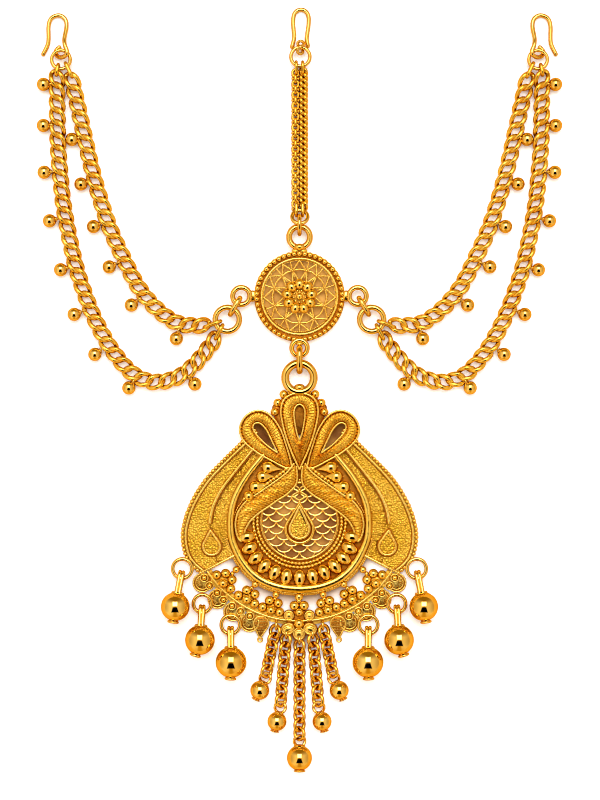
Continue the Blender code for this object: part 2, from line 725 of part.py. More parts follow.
def plaque_side(sign):
    """The wing, leaf, petal, bead and fringe solids of one half of the plaque."""
    def turned(points):
        return points if sign < 0 else mirrored(points)

    pieces = [
        prism(turned(WING_OUTLINE), BACK_LOW, WING_TOP),
        strip(turned(WING_OUTLINE[:10]), 0.9, BACK_LOW + 0.2, RIM_TOP),
        strip(turned(RIB_LINE), 0.8, 1.0, RIM_TOP),
        prism(turned(LEAF_OUTLINE), 0.6, LEAF_TOP),
    ]
    for x, y in turned(PETAL_GRANULES):
        pieces.append(stud((x, y), (2.4, 2.4), 0.5, 2.9))
    for x, y in turned(WING_DROPS):
        pieces.append(stud((x, y), (3.8, 2.3), 0.4, 3.0, turn=0.35 * sign))
    for x, y in turned(CLUSTERS):
        pieces.append(rosette((x, y), 5, 3.0, 2.0, 0.3, CLUSTER_TOP))
    for x, y in turned(CLUSTER_LINKS):
        pieces.append(stud((x, y), (2.2, 2.2), 0.3, 2.5))
    for x, y in turned(SCALLOPS):
        pieces.append(prism(round_outline((x, y), 2.75, 8), 0.2, FRINGE_TOP))
    drop = turned([(-11.1, -70.3), (-10.8, -65.4)])
    pieces.append(prism(teardrop(drop[0], drop[1], 2.2, count=7), 0.4, 2.0))
    return pieces


def low_arc(centre, radius, half_angle, steps):
    """Points of an arc that hangs below its centre, half_angle to each side."""
    turns = [half_angle * (2 * step / steps - 1) - math.pi / 2 for step in range(steps + 1)]
    return [polar(centre, radius, turn) for turn in turns]


def plaque(material):
    """The soldered plaque: petals, wings, leaves, band, net, beads, fringe and rings."""
    band = BAND_LINE + mirrored(BAND_LINE[-2::-1])
    inner_disc = BAND_LINE[2:] + mirrored(BAND_LINE[-2:1:-1])
    disc = prism(inner_disc + [(10.5, -20.6), (-10.5, -20.6)], 0.3, PLATE_TOP)
    disc = combine(disc, [prism(gap, -1.0, PLATE_TOP + 1.0) for gap in scale_gaps()], "DIFFERENCE")
    pieces = [disc, strip(band, BAND_WIDTH, BAND_LOW, BAND_TOP)]
    arc = low_arc(ARC_CENTRE, ARC_RADIUS, ARC_HALF_ANGLE, ARC_STEPS)
    pieces.append(strip(arc, 1.3, BAND_LOW, 1.9))
    bead_row = low_arc(BEAD_ROW_CENTRE, BEAD_ROW_RADIUS, BEAD_ROW_HALF_ANGLE, BEAD_ROW_STEPS)
    pieces.append(strip(bead_row, 3.2, 0.8, RIM_TOP))
    pieces.append(prism(teardrop((0.0, -31.2), (0.0, -39.0), 4.2), 0.6, 1.9))
    pieces.append(prism(teardrop((0.0, -32.4), (0.0, -38.8), 3.0), 1.5, 2.9))
    holes = []
    for item, sign in ((PETAL_SIDE, -1), (PETAL_SIDE, 1), (PETAL_CENTRE, -1)):
        tip = (-sign * item["tip"][0], item["tip"][1])
        end = (-sign * item["end"][0], item["end"][1])
        body, hole = petal(tip, end, item["radius"])
        pieces.append(body)
        holes.append(hole)
    for sign in (-1, 1):
        pieces.extend(plaque_side(sign))
    pieces.append(rosette((0.0, -64.6), 6, 4.4, 3.1, 0.3, 2.8))
    pieces.append(rosette((0.0, -60.3), 2, 2.6, 1.2, 0.3, CLUSTER_TOP))
    pieces.append(stud((0.0, -58.2), (2.2, 3.0), 0.3, 2.5))
    pieces.append(stud((0.0, 0.3), (5.4, 3.4), 0.8, 4.0))
    pieces.append(prism(round_outline(PETAL_CENTRE["end"], 6.3, 16), 0.6, 1.4))
    pieces.append(ring((*LARGE_RING, PENDANT_HEIGHT), LARGE_RING_RADIUS, LARGE_RING_WIRE,
                       segments=12, sides=6))
    for drop in DROPS:
        for sign in (-1.0, 1.0):
            x, y = drop["ring"]
            pieces.append(ring((-sign * x, y, DROP_RING_HEIGHT), drop["radius"], DROP_RING_WIRE))
    for item in TASSELS:
        for sign in (-1.0, 1.0):
            x, y = item["loop"]
            if x == 0.0 and sign > 0:
                continue
            loop = ring((-sign * x, y, TASSEL_HEIGHT), TASSEL_LOOP_RADIUS, TASSEL_LINK_WIRE,
                        normal=(1.0, 0.0, 0.0), along=(0.0, 1.0, 0.0))
            pieces.append(loop)
    body = combine(pieces[0], pieces[1:], "UNION")
    body = combine(body, holes, "DIFFERENCE")
    return finish(body, "pendant_plaque", material)


def build():
    """Build every piece of the jewel."""
    clear_scene()
    bright = gold("polished_gold", (0.90, 0.58, 0.14), 0.12)
    links = gold("chain_gold", (0.88, 0.55, 0.13), 0.2)
    satin = gold("satin_gold", (0.82, 0.51, 0.11), 0.34)
    for sign, side in ((1.0, "left"), (-1.0, "right")):
        flip = sign < 0
        hook_route = mirrored(SIDE_HOOK_ROUTE) if flip else SIDE_HOOK_ROUTE
        hook("side_hook_" + side, hook_route, bright)
        x, y = SIDE_RING
        top = ring((sign * x, y, TOP_RING_HEIGHT), SIDE_RING_RADIUS, TOP_RING_WIRE, segments=12)
        finish(top, "side_top_ring_" + side, bright)
        side_chains(side, flip, links)
        x, y = CONNECTOR
        big = ring((sign * x, y, JOIN_HEIGHT), CONNECTOR_RADIUS, CONNECTOR_WIRE, segments=12, sides=6)
        finish(big, "connector_ring_" + side, bright)
        ring_x, ring_y = MEDALLION_SIDE_RING
        dx, dy = unit(x - ring_x, y - ring_y)
        reach = MEDALLION_SIDE_RING_RADIUS
        first = (sign * (ring_x + dx * reach), ring_y + dy * reach)
        second = (sign * (x - dx * CONNECTOR_RADIUS), y - dy * CONNECTOR_RADIUS)
        link = upright_link(first, second, JOIN_HEIGHT, SIDE_LINK_RADIUS, SIDE_LINK_WIRE)
        finish(link, "side_link_" + side, bright)
        for number, drop in enumerate(DROPS, start=1):
            ball_drop("ball_drop_" + side + "_" + str(number), drop, flip, bright)
    hook("centre_hook", CENTRE_HOOK_ROUTE, bright)
    top = ring((*CENTRE_RING, TOP_RING_HEIGHT), CENTRE_RING_RADIUS, TOP_RING_WIRE, segments=12)
    finish(top, "centre_top_ring", bright)
    centre_chain(links)
    tilt = math.radians(CROWN_TILT)
    crown = ring((*CROWN_RING, CROWN_RING_HEIGHT), CROWN_RING_RADIUS, CROWN_RING_WIRE,
                 normal=(0.0, math.sin(tilt), math.cos(tilt)))
    finish(crown, "crown_ring", bright)
    crown_link = ring(CROWN_LINK, CROWN_LINK_RADIUS, CROWN_LINK_WIRE, along=(0.0, 1.0, 0.0),
                      normal=(1.0, 0.0, 0.0))
    finish(crown_link, "crown_link", bright)
    medallion(satin)
    top_wire = (0.0, MEDALLION_BOTTOM_RING[1] - MEDALLION_BOTTOM_RING_RADIUS)
    low_wire = (0.0, LARGE_RING[1] + LARGE_RING_RADIUS)
    link = upright_link(top_wire, low_wire, PENDANT_HEIGHT, PENDANT_LINK_RADIUS, PENDANT_LINK_WIRE)
    finish(link, "pendant_link", bright)
    plaque(satin)
    order = [(TASSELS[0], False), (TASSELS[1], False), (TASSELS[2], False),
             (TASSELS[1], True), (TASSELS[0], True)]
    for number, (item, flip) in enumerate(order, start=1):
        tassel(number, item, flip, links, bright)


build()
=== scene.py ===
"""Looks of the matha patti: a gold forehead jewel laid flat on its back.

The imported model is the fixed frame. Each class builds one part of the jewel in its finished
form, in millimetres, on the place that its CAD solid holds, and dresses it in gold. Places
are given for the left side, which has the lower x, and mirrored for the right.
"""

import logging
import math
from collections.abc import Callable, Sequence
from dataclasses import dataclass, field
from enum import Enum
from functools import lru_cache

import bmesh
import bpy
import numpy as np
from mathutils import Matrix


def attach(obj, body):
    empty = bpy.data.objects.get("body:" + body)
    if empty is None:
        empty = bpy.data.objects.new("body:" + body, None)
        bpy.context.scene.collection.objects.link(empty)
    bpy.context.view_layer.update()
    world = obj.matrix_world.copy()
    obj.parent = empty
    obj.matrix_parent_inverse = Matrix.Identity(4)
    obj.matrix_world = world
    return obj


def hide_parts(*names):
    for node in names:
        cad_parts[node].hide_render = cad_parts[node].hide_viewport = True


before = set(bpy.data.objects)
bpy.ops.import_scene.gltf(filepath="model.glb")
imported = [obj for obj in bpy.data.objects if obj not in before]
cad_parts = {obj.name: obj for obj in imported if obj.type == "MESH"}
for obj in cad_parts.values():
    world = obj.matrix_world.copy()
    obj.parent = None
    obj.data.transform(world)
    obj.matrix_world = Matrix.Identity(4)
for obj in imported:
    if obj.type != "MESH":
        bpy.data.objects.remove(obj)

LOG = logging.getLogger("matha_patti")
MM = 0.001
UP = (0.0, 0.0, 1.0)
SHARP_EDGE = math.radians(50.0)
CURVE_STEPS = 16
BOW_POINTS = 64
FINE_POINTS = 96
SIGHT = 0.2
HASH_X, HASH_Y, HASH_MIX, HASH_MASK = 374761393, 668265263, 1274126177, 0xFFFF

Array = np.ndarray
Numbers = Sequence[float]
Points = Sequence[Numbers] | Array
Relief = Callable[[Array, Array, Array], Array]
Pair = tuple[float, float]
Triple = tuple[float, float, float]
Socket = bpy.types.NodeSocket


# Lines and outlines


def unit(vectors: Array) -> Array:
    """Vectors brought to length one."""
    return vectors / np.maximum(np.linalg.norm(vectors, axis=-1, keepdims=True), 1e-9)


def lengths_along(line: Array) -> Array:
    """The distance from the start of a line to each of its points."""
    return np.concatenate([[0.0], np.cumsum(np.linalg.norm(np.diff(line, axis=0), axis=1))])


def resampled(line: Points, count: int, closed: bool = False) -> Array:
    """Spread points evenly along a line.

    Args:
        line: The points of the line; a closed line needs no repeated first point.
        count: How many points to return.
        closed: Whether the line runs back to its start.

    Returns:
        The evenly spaced points.
    """
    line = np.asarray(line, dtype=float)
    if closed:
        line = np.vstack([line, line[:1]])
    along = lengths_along(line)
    wanted = np.linspace(0.0, along[-1], count, endpoint=not closed)
    return np.column_stack([np.interp(wanted, along, column) for column in line.T])


def smooth(points: Points, spacing: float, closed: bool = False) -> Array:
    """Run a smooth curve through points.

    Args:
        points: The points that the curve passes through.
        spacing: The distance between the points that are returned.
        closed: Whether the curve runs back to its start.

    Returns:
        Evenly spaced points on the curve.
    """
    knots = np.asarray(points, dtype=float)
    if closed:
        padded = np.vstack([knots[-1:], knots, knots[:2]])
    else:
        padded = np.vstack([2 * knots[:1] - knots[1:2], knots, 2 * knots[-1:] - knots[-2:-1]])
    t = np.linspace(0.0, 1.0, CURVE_STEPS, endpoint=False)[:, None]
    runs = []
    for p0, p1, p2, p3 in zip(padded[:-3], padded[1:-2], padded[2:-1], padded[3:]):
        runs.append(0.5 * (2 * p1 + (p2 - p0) * t + (2 * p0 - 5 * p1 + 4 * p2 - p3) * t ** 2
                           + (3 * p1 - p0 - 3 * p2 + p3) * t ** 3))
    if not closed:
        runs.append(knots[-1:])
    fine = np.vstack(runs)
    total = lengths_along(fine)[-1]
    return resampled(fine, max(3, round(total / spacing) + 1), closed)


def ring_path(centre: Numbers, radius: float, count: int = 40,
              normal: Numbers = UP, along: Numbers = (1.0, 0.0, 0.0),
              stretch: float = 0.0) -> Array:
    """A circle in space, or a long link where stretch parts its two round ends.

    Args:
        centre: The middle of the ring.
        radius: The radius of the wire's middle line.
        count: How many points to return.
        normal: The direction that the ring faces.
        along: The direction in which the ring is stretched.
        stretch: The distance between the centres of its two round ends.

    Returns:
        The points of the closed line.
    """
    along = unit(np.array(along, dtype=float))
    across = np.cross(unit(np.array(normal, dtype=float)), along)
    angle = math.tau * (np.arange(count) + 0.5)[:, None] / count
    shift = along * np.sign(np.cos(angle)) * stretch / 2
    line = np.array(centre) + shift + radius * (along * np.cos(angle) + across * np.sin(angle))
    return resampled(line, count, closed=True)


def arc(centre: Numbers, radius: float, start: float, end: float, count: int) -> Array:
    """Points on an arc in the plane, with its angles in degrees."""
    angle = np.radians(np.linspace(start, end, count))
    return np.column_stack([centre[0] + radius * np.cos(angle), centre[1] + radius * np.sin(angle)])


def turned(points: Array, turn: float) -> Array:
    """Points in space turned about the vertical, in radians."""
    cosine, sine = math.cos(turn), math.sin(turn)
    return points @ np.array([[cosine, sine, 0.0], [-sine, cosine, 0.0], [0.0, 0.0, 1.0]])


def mirrored(half: Points) -> Array:
    """A line from the middle round to the middle again, from its left half."""
    half = np.array(half, dtype=float)
    return np.vstack([half, half[::-1][1:] * np.array([-1.0, 1.0])])


def lifted(line: Points, height: float) -> Array:
    """A flat line carried to a height."""
    line = np.asarray(line, dtype=float)
    return np.column_stack([line[:, 0], line[:, 1], np.full(len(line), height)])


def offset(line: Points, amount: float, closed: bool = False) -> Array:
    """Move a flat line to its left side.

    Args:
        line: The flat line.
        amount: How far it moves; below nought it moves to the right.
        closed: Whether the line runs back to its start.

    Returns:
        The moved line, point for point.
    """
    line = np.asarray(line, dtype=float)
    if closed:
        tangent = np.roll(line, -1, axis=0) - np.roll(line, 1, axis=0)
    else:
        tangent = np.gradient(line, axis=0)
    tangent = unit(tangent)
    return line + amount * np.column_stack([-tangent[:, 1], tangent[:, 0]])


def teardrop(tip: Numbers, centre: Numbers, radius: float, count: int) -> Array:
    """Draw an outline with a point at its tip and a round end.

    Args:
        tip: The place of the point.
        centre: The centre of the round end.
        radius: The radius of the round end.
        count: How many points to return.

    Returns:
        The closed outline, anticlockwise from the tip.
    """
    tip = np.array(tip, dtype=float)
    centre = np.array(centre, dtype=float)
    reach = tip - centre
    spread = math.acos(radius / float(np.linalg.norm(reach)))
    heading = math.atan2(reach[1], reach[0])
    angle = heading + spread + np.linspace(0.0, math.tau - 2 * spread, BOW_POINTS)
    bow = centre + radius * np.column_stack([np.cos(angle), np.sin(angle)])
    return resampled(np.vstack([tip[None], bow]), count, closed=True)


def station(route: Array, distance: float) -> tuple[Array, Array]:
    """Find a place on a route.

    Args:
        route: The line to follow.
        distance: How far from the start of the line the place is.

    Returns:
        The point there, and the direction of the route there.
    """
    along = lengths_along(route)
    near = [np.array([np.interp(distance + step, along, column) for column in route.T])
            for step in (-SIGHT, 0.0, SIGHT)]
    return near[1], unit(near[2] - near[0])


def grain(points: Array, size: float) -> Array:
    """Smooth uneven heights from -1 to 1 over flat points, the same in every run.

    Args:
        points: Flat points in any array shape whose last axis is x, y.
        size: The size of one bump.

    Returns:
        A height for each point.
    """
    scaled = points / size
    cell = np.floor(scaled).astype(np.int64)
    part = scaled - cell
    part = part * part * (3 - 2 * part)

    def corner(right: int, above: int) -> Array:
        """Look up the fixed height at one corner of each point's cell.

        Args:
            right: How many cells to the right the corner is.
            above: How many cells up the corner is.

        Returns:
            A height from -1 to 1 for each point.
        """
        key = (cell[..., 0] + right) * HASH_X + (cell[..., 1] + above) * HASH_Y
        key = (key ^ (key >> 13)) * HASH_MIX
        return ((key ^ (key >> 16)) & HASH_MASK) / (HASH_MASK / 2) - 1.0

    low = corner(0, 0) * (1 - part[..., 0]) + corner(1, 0) * part[..., 0]
    high = corner(0, 1) * (1 - part[..., 0]) + corner(1, 1) * part[..., 0]
    return low * (1 - part[..., 1]) + high * part[..., 1]


def level(height: float) -> Relief:
    """A flat top for a panel."""
    return lambda plan, along, share: height + 0.0 * share


class Side(Enum):
    """The two sides of the jewel; the value turns a left side's x into its own."""

    LEFT = 1.0
    RIGHT = -1.0

    @property
    def word(self) -> str:
        """The side's name as the pieces are named."""
        return self.name.lower()

    def place(self, points: Points) -> Array:
        """Carry points of the left side to this side.

        Args:
            points: One point or many, with x first.

        Returns:
            The points on this side.
        """
        moved = np.array(points, dtype=float)
        moved[..., 0] *= self.value
        return moved


# Finishes


class Nodes:
    """Adds nodes to one node tree and joins them."""

    def __init__(self, tree: bpy.types.NodeTree) -> None:
        """Start with an empty tree."""
        self.tree = tree
        tree.nodes.clear()

    def add(self, kind: str, inputs: dict[str | int, object] | None = None,
            **settings: object) -> bpy.types.Node:
        """Add a node.

        Args:
            kind: The node's type.
            inputs: A value or a socket for each named or numbered input.
            **settings: The node's own settings.

        Returns:
            The new node.
        """
        node = self.tree.nodes.new(kind)
        for name, value in settings.items():
            setattr(node, name, value)
        for key, value in (inputs or {}).items():
            if isinstance(value, Socket):
                self.tree.links.new(value, node.inputs[key])
            else:
                node.inputs[key].default_value = value
        return node

    def number(self, operation: str, *values: object) -> Socket:
        """The result of one sum on numbers or sockets."""
        node = self.add("ShaderNodeMath", dict(enumerate(values)), operation=operation)
        return node.outputs[0]

    def step(self, value: Socket, low: float, high: float, start: float = 0.0, end: float = 1.0) -> Socket:
        """A soft step from start to end while the value goes from low to high."""
        node = self.add("ShaderNodeMapRange", {"Value": value, "From Min": low, "From Max": high,
                                               "To Min": start, "To Max": end},
                        interpolation_type="SMOOTHSTEP")
        return node.outputs["Result"]

    def window(self, value: Socket, start: float, full: float, fade: float, end: float) -> Socket:
        """A soft bump that rises from start to full and falls from fade to end."""
        return self.number("MULTIPLY", self.step(value, start, full), self.step(value, end, fade))

    def blend(self, factor: object, first: object, second: object) -> Socket:
        """A colour between two colours."""
        node = self.add("ShaderNodeMix", {0: factor, 6: first, 7: second}, data_type="RGBA")
        return node.outputs[2]

    def noise(self, place: Socket, size: float, detail: float) -> Socket:
        """Even noise whose features have a size in millimetres."""
        node = self.add("ShaderNodeTexNoise", {"Vector": place, "Scale": 1.0 / (size * MM),
                                               "Detail": detail})
        return node.outputs[0]

    def distance(self, place: Socket, x: float, y: float) -> Socket:
        """How far a place is from a point of the table given in millimetres."""
        node = self.add("ShaderNodeVectorMath", {0: place, 1: (x * MM, y * MM, 0.0)}, operation="DISTANCE")
        return node.outputs["Value"]


@dataclass(frozen=True)
class GoldFinish:
    """One way in which the gold is worked; marks are in millimetres.

    Its tint drifts to its shade at random. Where ambient occlusion finds it between open and deep light, it
    darkens towards its painted-shade tone: painted shade in crevices and hollows.
    """

    name: str
    tint: Triple = (0.99, 0.68, 0.14)
    shade: Triple = (0.95, 0.61, 0.1)
    recess: Triple = (0.27, 0.052, 0.0)
    edge: Triple = (0.96, 0.64, 0.2)
    roughness: float = 0.14
    roughness_spread: Pair = (0.7, 1.35)
    drift_size: float = 7.0
    mark_size: float = 1.2
    mark_depth: float = 0.01
    patina: float = 0.7
    patina_reach: float = 0.5
    open_light: float = 0.78
    deep_light: float = 0.25
    stipple: float = 0.0
    stipple_size: float = 0.57
    stipple_edge: Pair = (0.32, 0.6)
    stipple_patina: float = 0.28

    def material(self) -> bpy.types.Material:
        """Dress the finish as a material, made on first use.

        Returns:
            The material.
        """
        found = bpy.data.materials.get(self.name)
        if found is not None:
            return found
        material = bpy.data.materials.new(self.name)
        material.use_nodes = True
        nodes = Nodes(material.node_tree)
        place = nodes.add("ShaderNodeTexCoord").outputs["Object"]
        drift = nodes.step(nodes.noise(place, self.drift_size, 2.0), 0.35, 0.65)
        metal = nodes.blend(drift, (*self.tint, 1.0), (*self.shade, 1.0))
        # Painted shade: ambient occlusion darkens the colour towards the painted-shade tone in crevices and
        # between parts.
        light = nodes.add("ShaderNodeAmbientOcclusion", {"Distance": self.patina_reach * MM},
                          samples=6).outputs["AO"]
        crevice_shade_amount = nodes.step(light, self.open_light, self.deep_light, 0.0, self.patina)
        colour = nodes.blend(crevice_shade_amount, metal, (*self.recess, 1.0))
        low, high = self.roughness_spread
        rough = nodes.step(nodes.noise(place, self.mark_size, 3.0), 0.3, 0.7,
                           self.roughness * low, self.roughness * high)
        normal = nodes.add("ShaderNodeBump", {"Height": nodes.noise(place, self.mark_size, 2.0),
                                              "Distance": self.mark_depth * MM,
                                              "Strength": 1.0}).outputs["Normal"]
        if self.stipple:
            cells = nodes.add("ShaderNodeTexVoronoi", {"Vector": place, "Randomness": 0.85,
                                                       "Scale": 1.0 / (self.stipple_size * MM)},
                              feature="F1").outputs["Distance"]
            normal = nodes.add("ShaderNodeBump", {"Height": cells, "Distance": self.stipple * MM,
                                                  "Normal": normal}, invert=True).outputs["Normal"]
            # Painted shade between the punch marks, in the painted-shade tone.
            between = nodes.step(cells, *self.stipple_edge, 0.0, self.stipple_patina)
            colour = nodes.blend(between, colour, (*self.recess, 1.0))
        shader = nodes.add("ShaderNodeBsdfPrincipled",
                           {"Base Color": colour, "Metallic": 1.0, "Roughness": rough,
                            "Normal": normal, "Specular Tint": (*self.edge, 1.0)})
        nodes.add("ShaderNodeOutputMaterial", {"Surface": shader.outputs[0]})
        return material


class Finish(Enum):
    """The finishes of the jewel."""

    POLISHED = GoldFinish(
        "gold_mirror", tint=(0.92, 0.63, 0.16), shade=(0.89, 0.56, 0.11), roughness=0.07,
        mark_size=3.0, mark_depth=0.004, patina=0.5, patina_reach=0.6)
    CHAIN = GoldFinish(
        "gold_links", tint=(0.98, 0.655, 0.1), shade=(0.93, 0.55, 0.06), edge=(0.96, 0.6, 0.12),
        roughness=0.25, mark_size=1.6, patina=0.95, patina_reach=1.4)
    TASSEL = GoldFinish(
        "gold_tassel_links", tint=(1.0, 0.61, 0.085), shade=(0.92, 0.51, 0.05),
        edge=(0.96, 0.6, 0.12), roughness=0.17, mark_size=1.6, patina=0.95, patina_reach=1.3)
    # A paler gold than the rest, to brighten the thin wires: painted highlight.
    WIRE = GoldFinish(
        "gold_wire", tint=(1.0, 0.76, 0.2), shade=(1.0, 0.7, 0.14), edge=(1.0, 0.76, 0.3),
        roughness=0.25, mark_size=0.8, patina=0.35, patina_reach=0.35)
    GRAIN = GoldFinish(
        "gold_granules", tint=(0.98, 0.69, 0.16), shade=(0.95, 0.62, 0.11),
        edge=(1.0, 0.78, 0.36), mark_size=1.5, mark_depth=0.006, patina_reach=0.45)
    NET = GoldFinish(
        "gold_net", tint=(0.95, 0.64, 0.14), shade=(0.85, 0.52, 0.09), roughness=0.26, mark_size=0.6)
    SATIN = GoldFinish("gold_satin", roughness=0.2, mark_size=0.9, mark_depth=0.008)
    FIELD = GoldFinish(
        "gold_field", tint=(0.88, 0.53, 0.08), shade=(0.78, 0.43, 0.05), roughness=0.36,
        mark_size=0.7, patina=0.8)
    MATTE = GoldFinish(
        "gold_stippled", tint=(0.82, 0.51, 0.06), shade=(0.71, 0.42, 0.033), roughness=0.34,
        mark_size=0.5, mark_depth=0.012, stipple=0.25)
    RIBBED = GoldFinish(
        "gold_ribbed", tint=(0.97, 0.62, 0.085), shade=(0.89, 0.53, 0.055), roughness=0.28,
        mark_size=0.5, mark_depth=0.008, stipple=0.06)
    # A dark gold for sunk plates, channels, grooves and outlines: painted shade.
    RECESS = GoldFinish(
        "gold_recess", tint=(0.5, 0.21, 0.025), shade=(0.4, 0.15, 0.012), roughness=0.4,
        mark_size=0.6, mark_depth=0.02, patina=0.9, patina_reach=1.2)


# Metalwork


def grid(rows: int, columns: int, wrap_rows: bool, wrap_columns: bool) -> Array:
    """Lay four-cornered faces over points that stand in rows and columns.

    Args:
        rows: How many rows there are.
        columns: How many columns there are.
        wrap_rows: Whether the last row joins the first.
        wrap_columns: Whether the last column joins the first.

    Returns:
        The four point numbers of each face.
    """
    row = np.arange(rows if wrap_rows else rows - 1)[:, None]
    column = np.arange(columns if wrap_columns else columns - 1)[None, :]
    below = (row + 1) % rows
    right = (column + 1) % columns
    corners = [row * columns + column, below * columns + column,
               below * columns + right, row * columns + right]
    return np.stack(np.broadcast_arrays(*corners), axis=-1).reshape(-1, 4)


@lru_cache(maxsize=None)
def ball_shape(segments: int, rings: int) -> tuple[Array, list[list[int]]]:
    """Shape a ball with radius one.

    Args:
        segments: How many points go round it.
        rings: How many bands it has from top to bottom.

    Returns:
        Its points and its faces.
    """
    lift = math.pi * np.arange(1, rings)[:, None] / rings
    turn = math.tau * np.arange(segments)[None, :] / segments
    belts = np.stack(np.broadcast_arrays(np.sin(lift) * np.cos(turn), np.sin(lift) * np.sin(turn),
                                         np.cos(lift)), axis=-1).reshape(-1, 3)
    points = np.vstack([belts, [[0.0, 0.0, 1.0], [0.0, 0.0, -1.0]]])
    faces = grid(rings - 1, segments, False, True).tolist()
    top, bottom, last = len(belts), len(belts) + 1, (rings - 2) * segments
    for step in range(segments):
        other = (step + 1) % segments
        faces.append([top, step, other])
        faces.append([bottom, last + other, last + step])
    return points, faces


class Metalwork:
    """Gathers the wires, beads and plates of one piece."""

    CAP_ANGLES = (12.0, 38.0, 64.0)
    EDGE_ANGLES = (30.0, 60.0, 90.0)
    BEAD_POINTS = 6
    BEAD_WAIST = 0.45
    BEAD_PITCH = 0.97

    def __init__(self, finish: Finish = Finish.WIRE) -> None:
        """Start with nothing.

        Args:
            finish: The finish of what is added, until another is set.
        """
        self.points: list[Array] = []
        self.faces: list[list[int]] = []
        self.finishes: list[Finish] = []
        self.count = 0
        self.finish = finish

    def of(self, finish: Finish) -> "Metalwork":
        """The same metalwork, with a finish set for what is added from here on."""
        self.finish = finish
        return self

    def add(self, points: Array, faces: list[list[int]]) -> None:
        """Add points with their faces, in the present finish.

        Args:
            points: The points.
            faces: The faces, which number these points from nought.
        """
        self.faces.extend([[index + self.count for index in face] for face in faces])
        self.finishes.extend([self.finish] * len(faces))
        self.points.append(points)
        self.count += len(points)

    def wire(self, path: Points, diameter: float | Array, sides: int = 10, closed: bool = False,
             up: Numbers = UP, flat: float = 1.0) -> None:
        """Draw a wire along a line.

        Args:
            path: The line of its middle.
            diameter: Its thickness, or one thickness for each point.
            sides: How many points go round it.
            closed: Whether it runs back to its start.
            up: A direction that the line never follows.
            flat: Its height as a share of its width.
        """
        path = np.asarray(path, dtype=float)
        radius = np.broadcast_to(np.asarray(diameter, dtype=float) / 2, (len(path),))
        if closed:
            tangent = unit(np.roll(path, -1, axis=0) - np.roll(path, 1, axis=0))
        else:
            first, last = unit(path[1] - path[0]), unit(path[-1] - path[-2])
            cap = np.radians(self.CAP_ANGLES)[:, None]
            path = np.vstack([path[0] - first * radius[0] * np.cos(cap), path,
                              (path[-1] + last * radius[-1] * np.cos(cap))[::-1]])
            ends = np.sin(cap[:, 0])
            radius = np.concatenate([radius[0] * ends, radius, (radius[-1] * ends)[::-1]])
            tangent = unit(np.gradient(path, axis=0))
        side = unit(np.cross(tangent, up))
        rise = np.cross(side, tangent) * flat
        angle = math.tau * np.arange(sides) / sides
        points = (path[:, None] + side[:, None] * (radius[:, None] * np.cos(angle))[..., None]
                  + rise[:, None] * (radius[:, None] * np.sin(angle))[..., None]).reshape(-1, 3)
        faces = grid(len(path), sides, closed, True).tolist()
        if not closed:
            faces.append(list(range(sides)))
            faces.append(list(range(len(points) - sides, len(points))))
        self.add(points, faces)

    def beaded(self, path: Array, size: float) -> None:
        """Draw a wire as a row of tiny touching beads.

        Args:
            path: The line of its middle.
            size: The diameter of one bead.
        """
        beads = max(1, round(lengths_along(path)[-1] / (size * self.BEAD_PITCH)))
        line = resampled(path, beads * self.BEAD_POINTS + 1)
        phase = np.arange(len(line)) % self.BEAD_POINTS / self.BEAD_POINTS
        swell = (1.0 - self.BEAD_WAIST) * np.sin(math.pi * phase) ** 0.7
        self.wire(line, size * (self.BEAD_WAIST + swell), 8)

    def bead(self, centre: Numbers, size: float, segments: int = 14, rings: int = 8,
             squash: Numbers = (1.0, 1.0, 1.0), turn: float = 0.0, taper: float = 0.0) -> None:
        """Set a round, oval or egg-shaped bead.

        Args:
            centre: Its middle.
            size: Its diameter before squash.
            segments: How many points go round it.
            rings: How many bands it has from top to bottom.
            squash: Its size along its own three directions, as shares of its diameter.
            turn: How far it is turned about the vertical, in radians.
            taper: How much narrower than its middle it is at the end of its own second direction.
        """
        points, faces = ball_shape(segments, rings)
        shaped = points * np.array(squash) * size / 2
        shaped[:, 0] *= 1.0 - taper * points[:, 1]
        self.add(turned(shaped, turn) + np.array(centre), faces)

    def beads(self, places: Points, height: float, size: float, segments: int = 12,
              rings: int = 8) -> None:
        """Equal round beads at one height."""
        for x, y in places:
            self.bead((x, y, height), size, segments, rings)

    def ring(self, centre: Numbers, radius: float, wire: float, count: int = 44,
             sides: int = 14, normal: Numbers = UP,
             along: Numbers = (1.0, 0.0, 0.0), stretch: float = 0.0) -> None:
        """A round wire ring, or a long link; see ring_path for its sizes."""
        path = ring_path(centre, radius, count, normal, along, stretch)
        self.wire(path, wire, sides, closed=True, up=normal)

    def link(self, start: Points, end: Points, radius: float, wire: float) -> None:
        """Stand a link on edge.

        Args:
            start: The centre of one round end.
            end: The centre of the other round end.
            radius: The radius of the wire's middle line at both ends.
            wire: The wire's thickness.
        """
        start, end = np.array(start, dtype=float), np.array(end, dtype=float)
        along = end - start
        normal = np.cross(along, UP)
        self.ring((start + end) / 2, radius, wire, 36, 12, normal, along, float(np.linalg.norm(along)))

    def lathe(self, start: Numbers, axis: Numbers, profile: Points, segments: int) -> None:
        """Turn a solid about a line.

        Args:
            start: Where the line begins.
            axis: The direction of the line.
            profile: Pairs of a distance along the line and a radius there.
            segments: How many points go round it.
        """
        axis = unit(np.array(axis, dtype=float))
        other = (0.0, 1.0, 0.0) if abs(axis[2]) > 0.9 else UP
        side = unit(np.cross(axis, other))
        rise = np.cross(side, axis)
        profile = np.asarray(profile, dtype=float)
        angle = math.tau * np.arange(segments)[None, :, None] / segments
        spoke = side * np.cos(angle) + rise * np.sin(angle)
        points = np.array(start) + axis * profile[:, None, :1] + spoke * profile[:, None, 1:]
        faces = grid(len(profile), segments, False, True).tolist()
        faces.append(list(range(segments)))
        faces.append(list(range(segments * (len(profile) - 1), segments * len(profile))))
        self.add(points.reshape(-1, 3), faces)

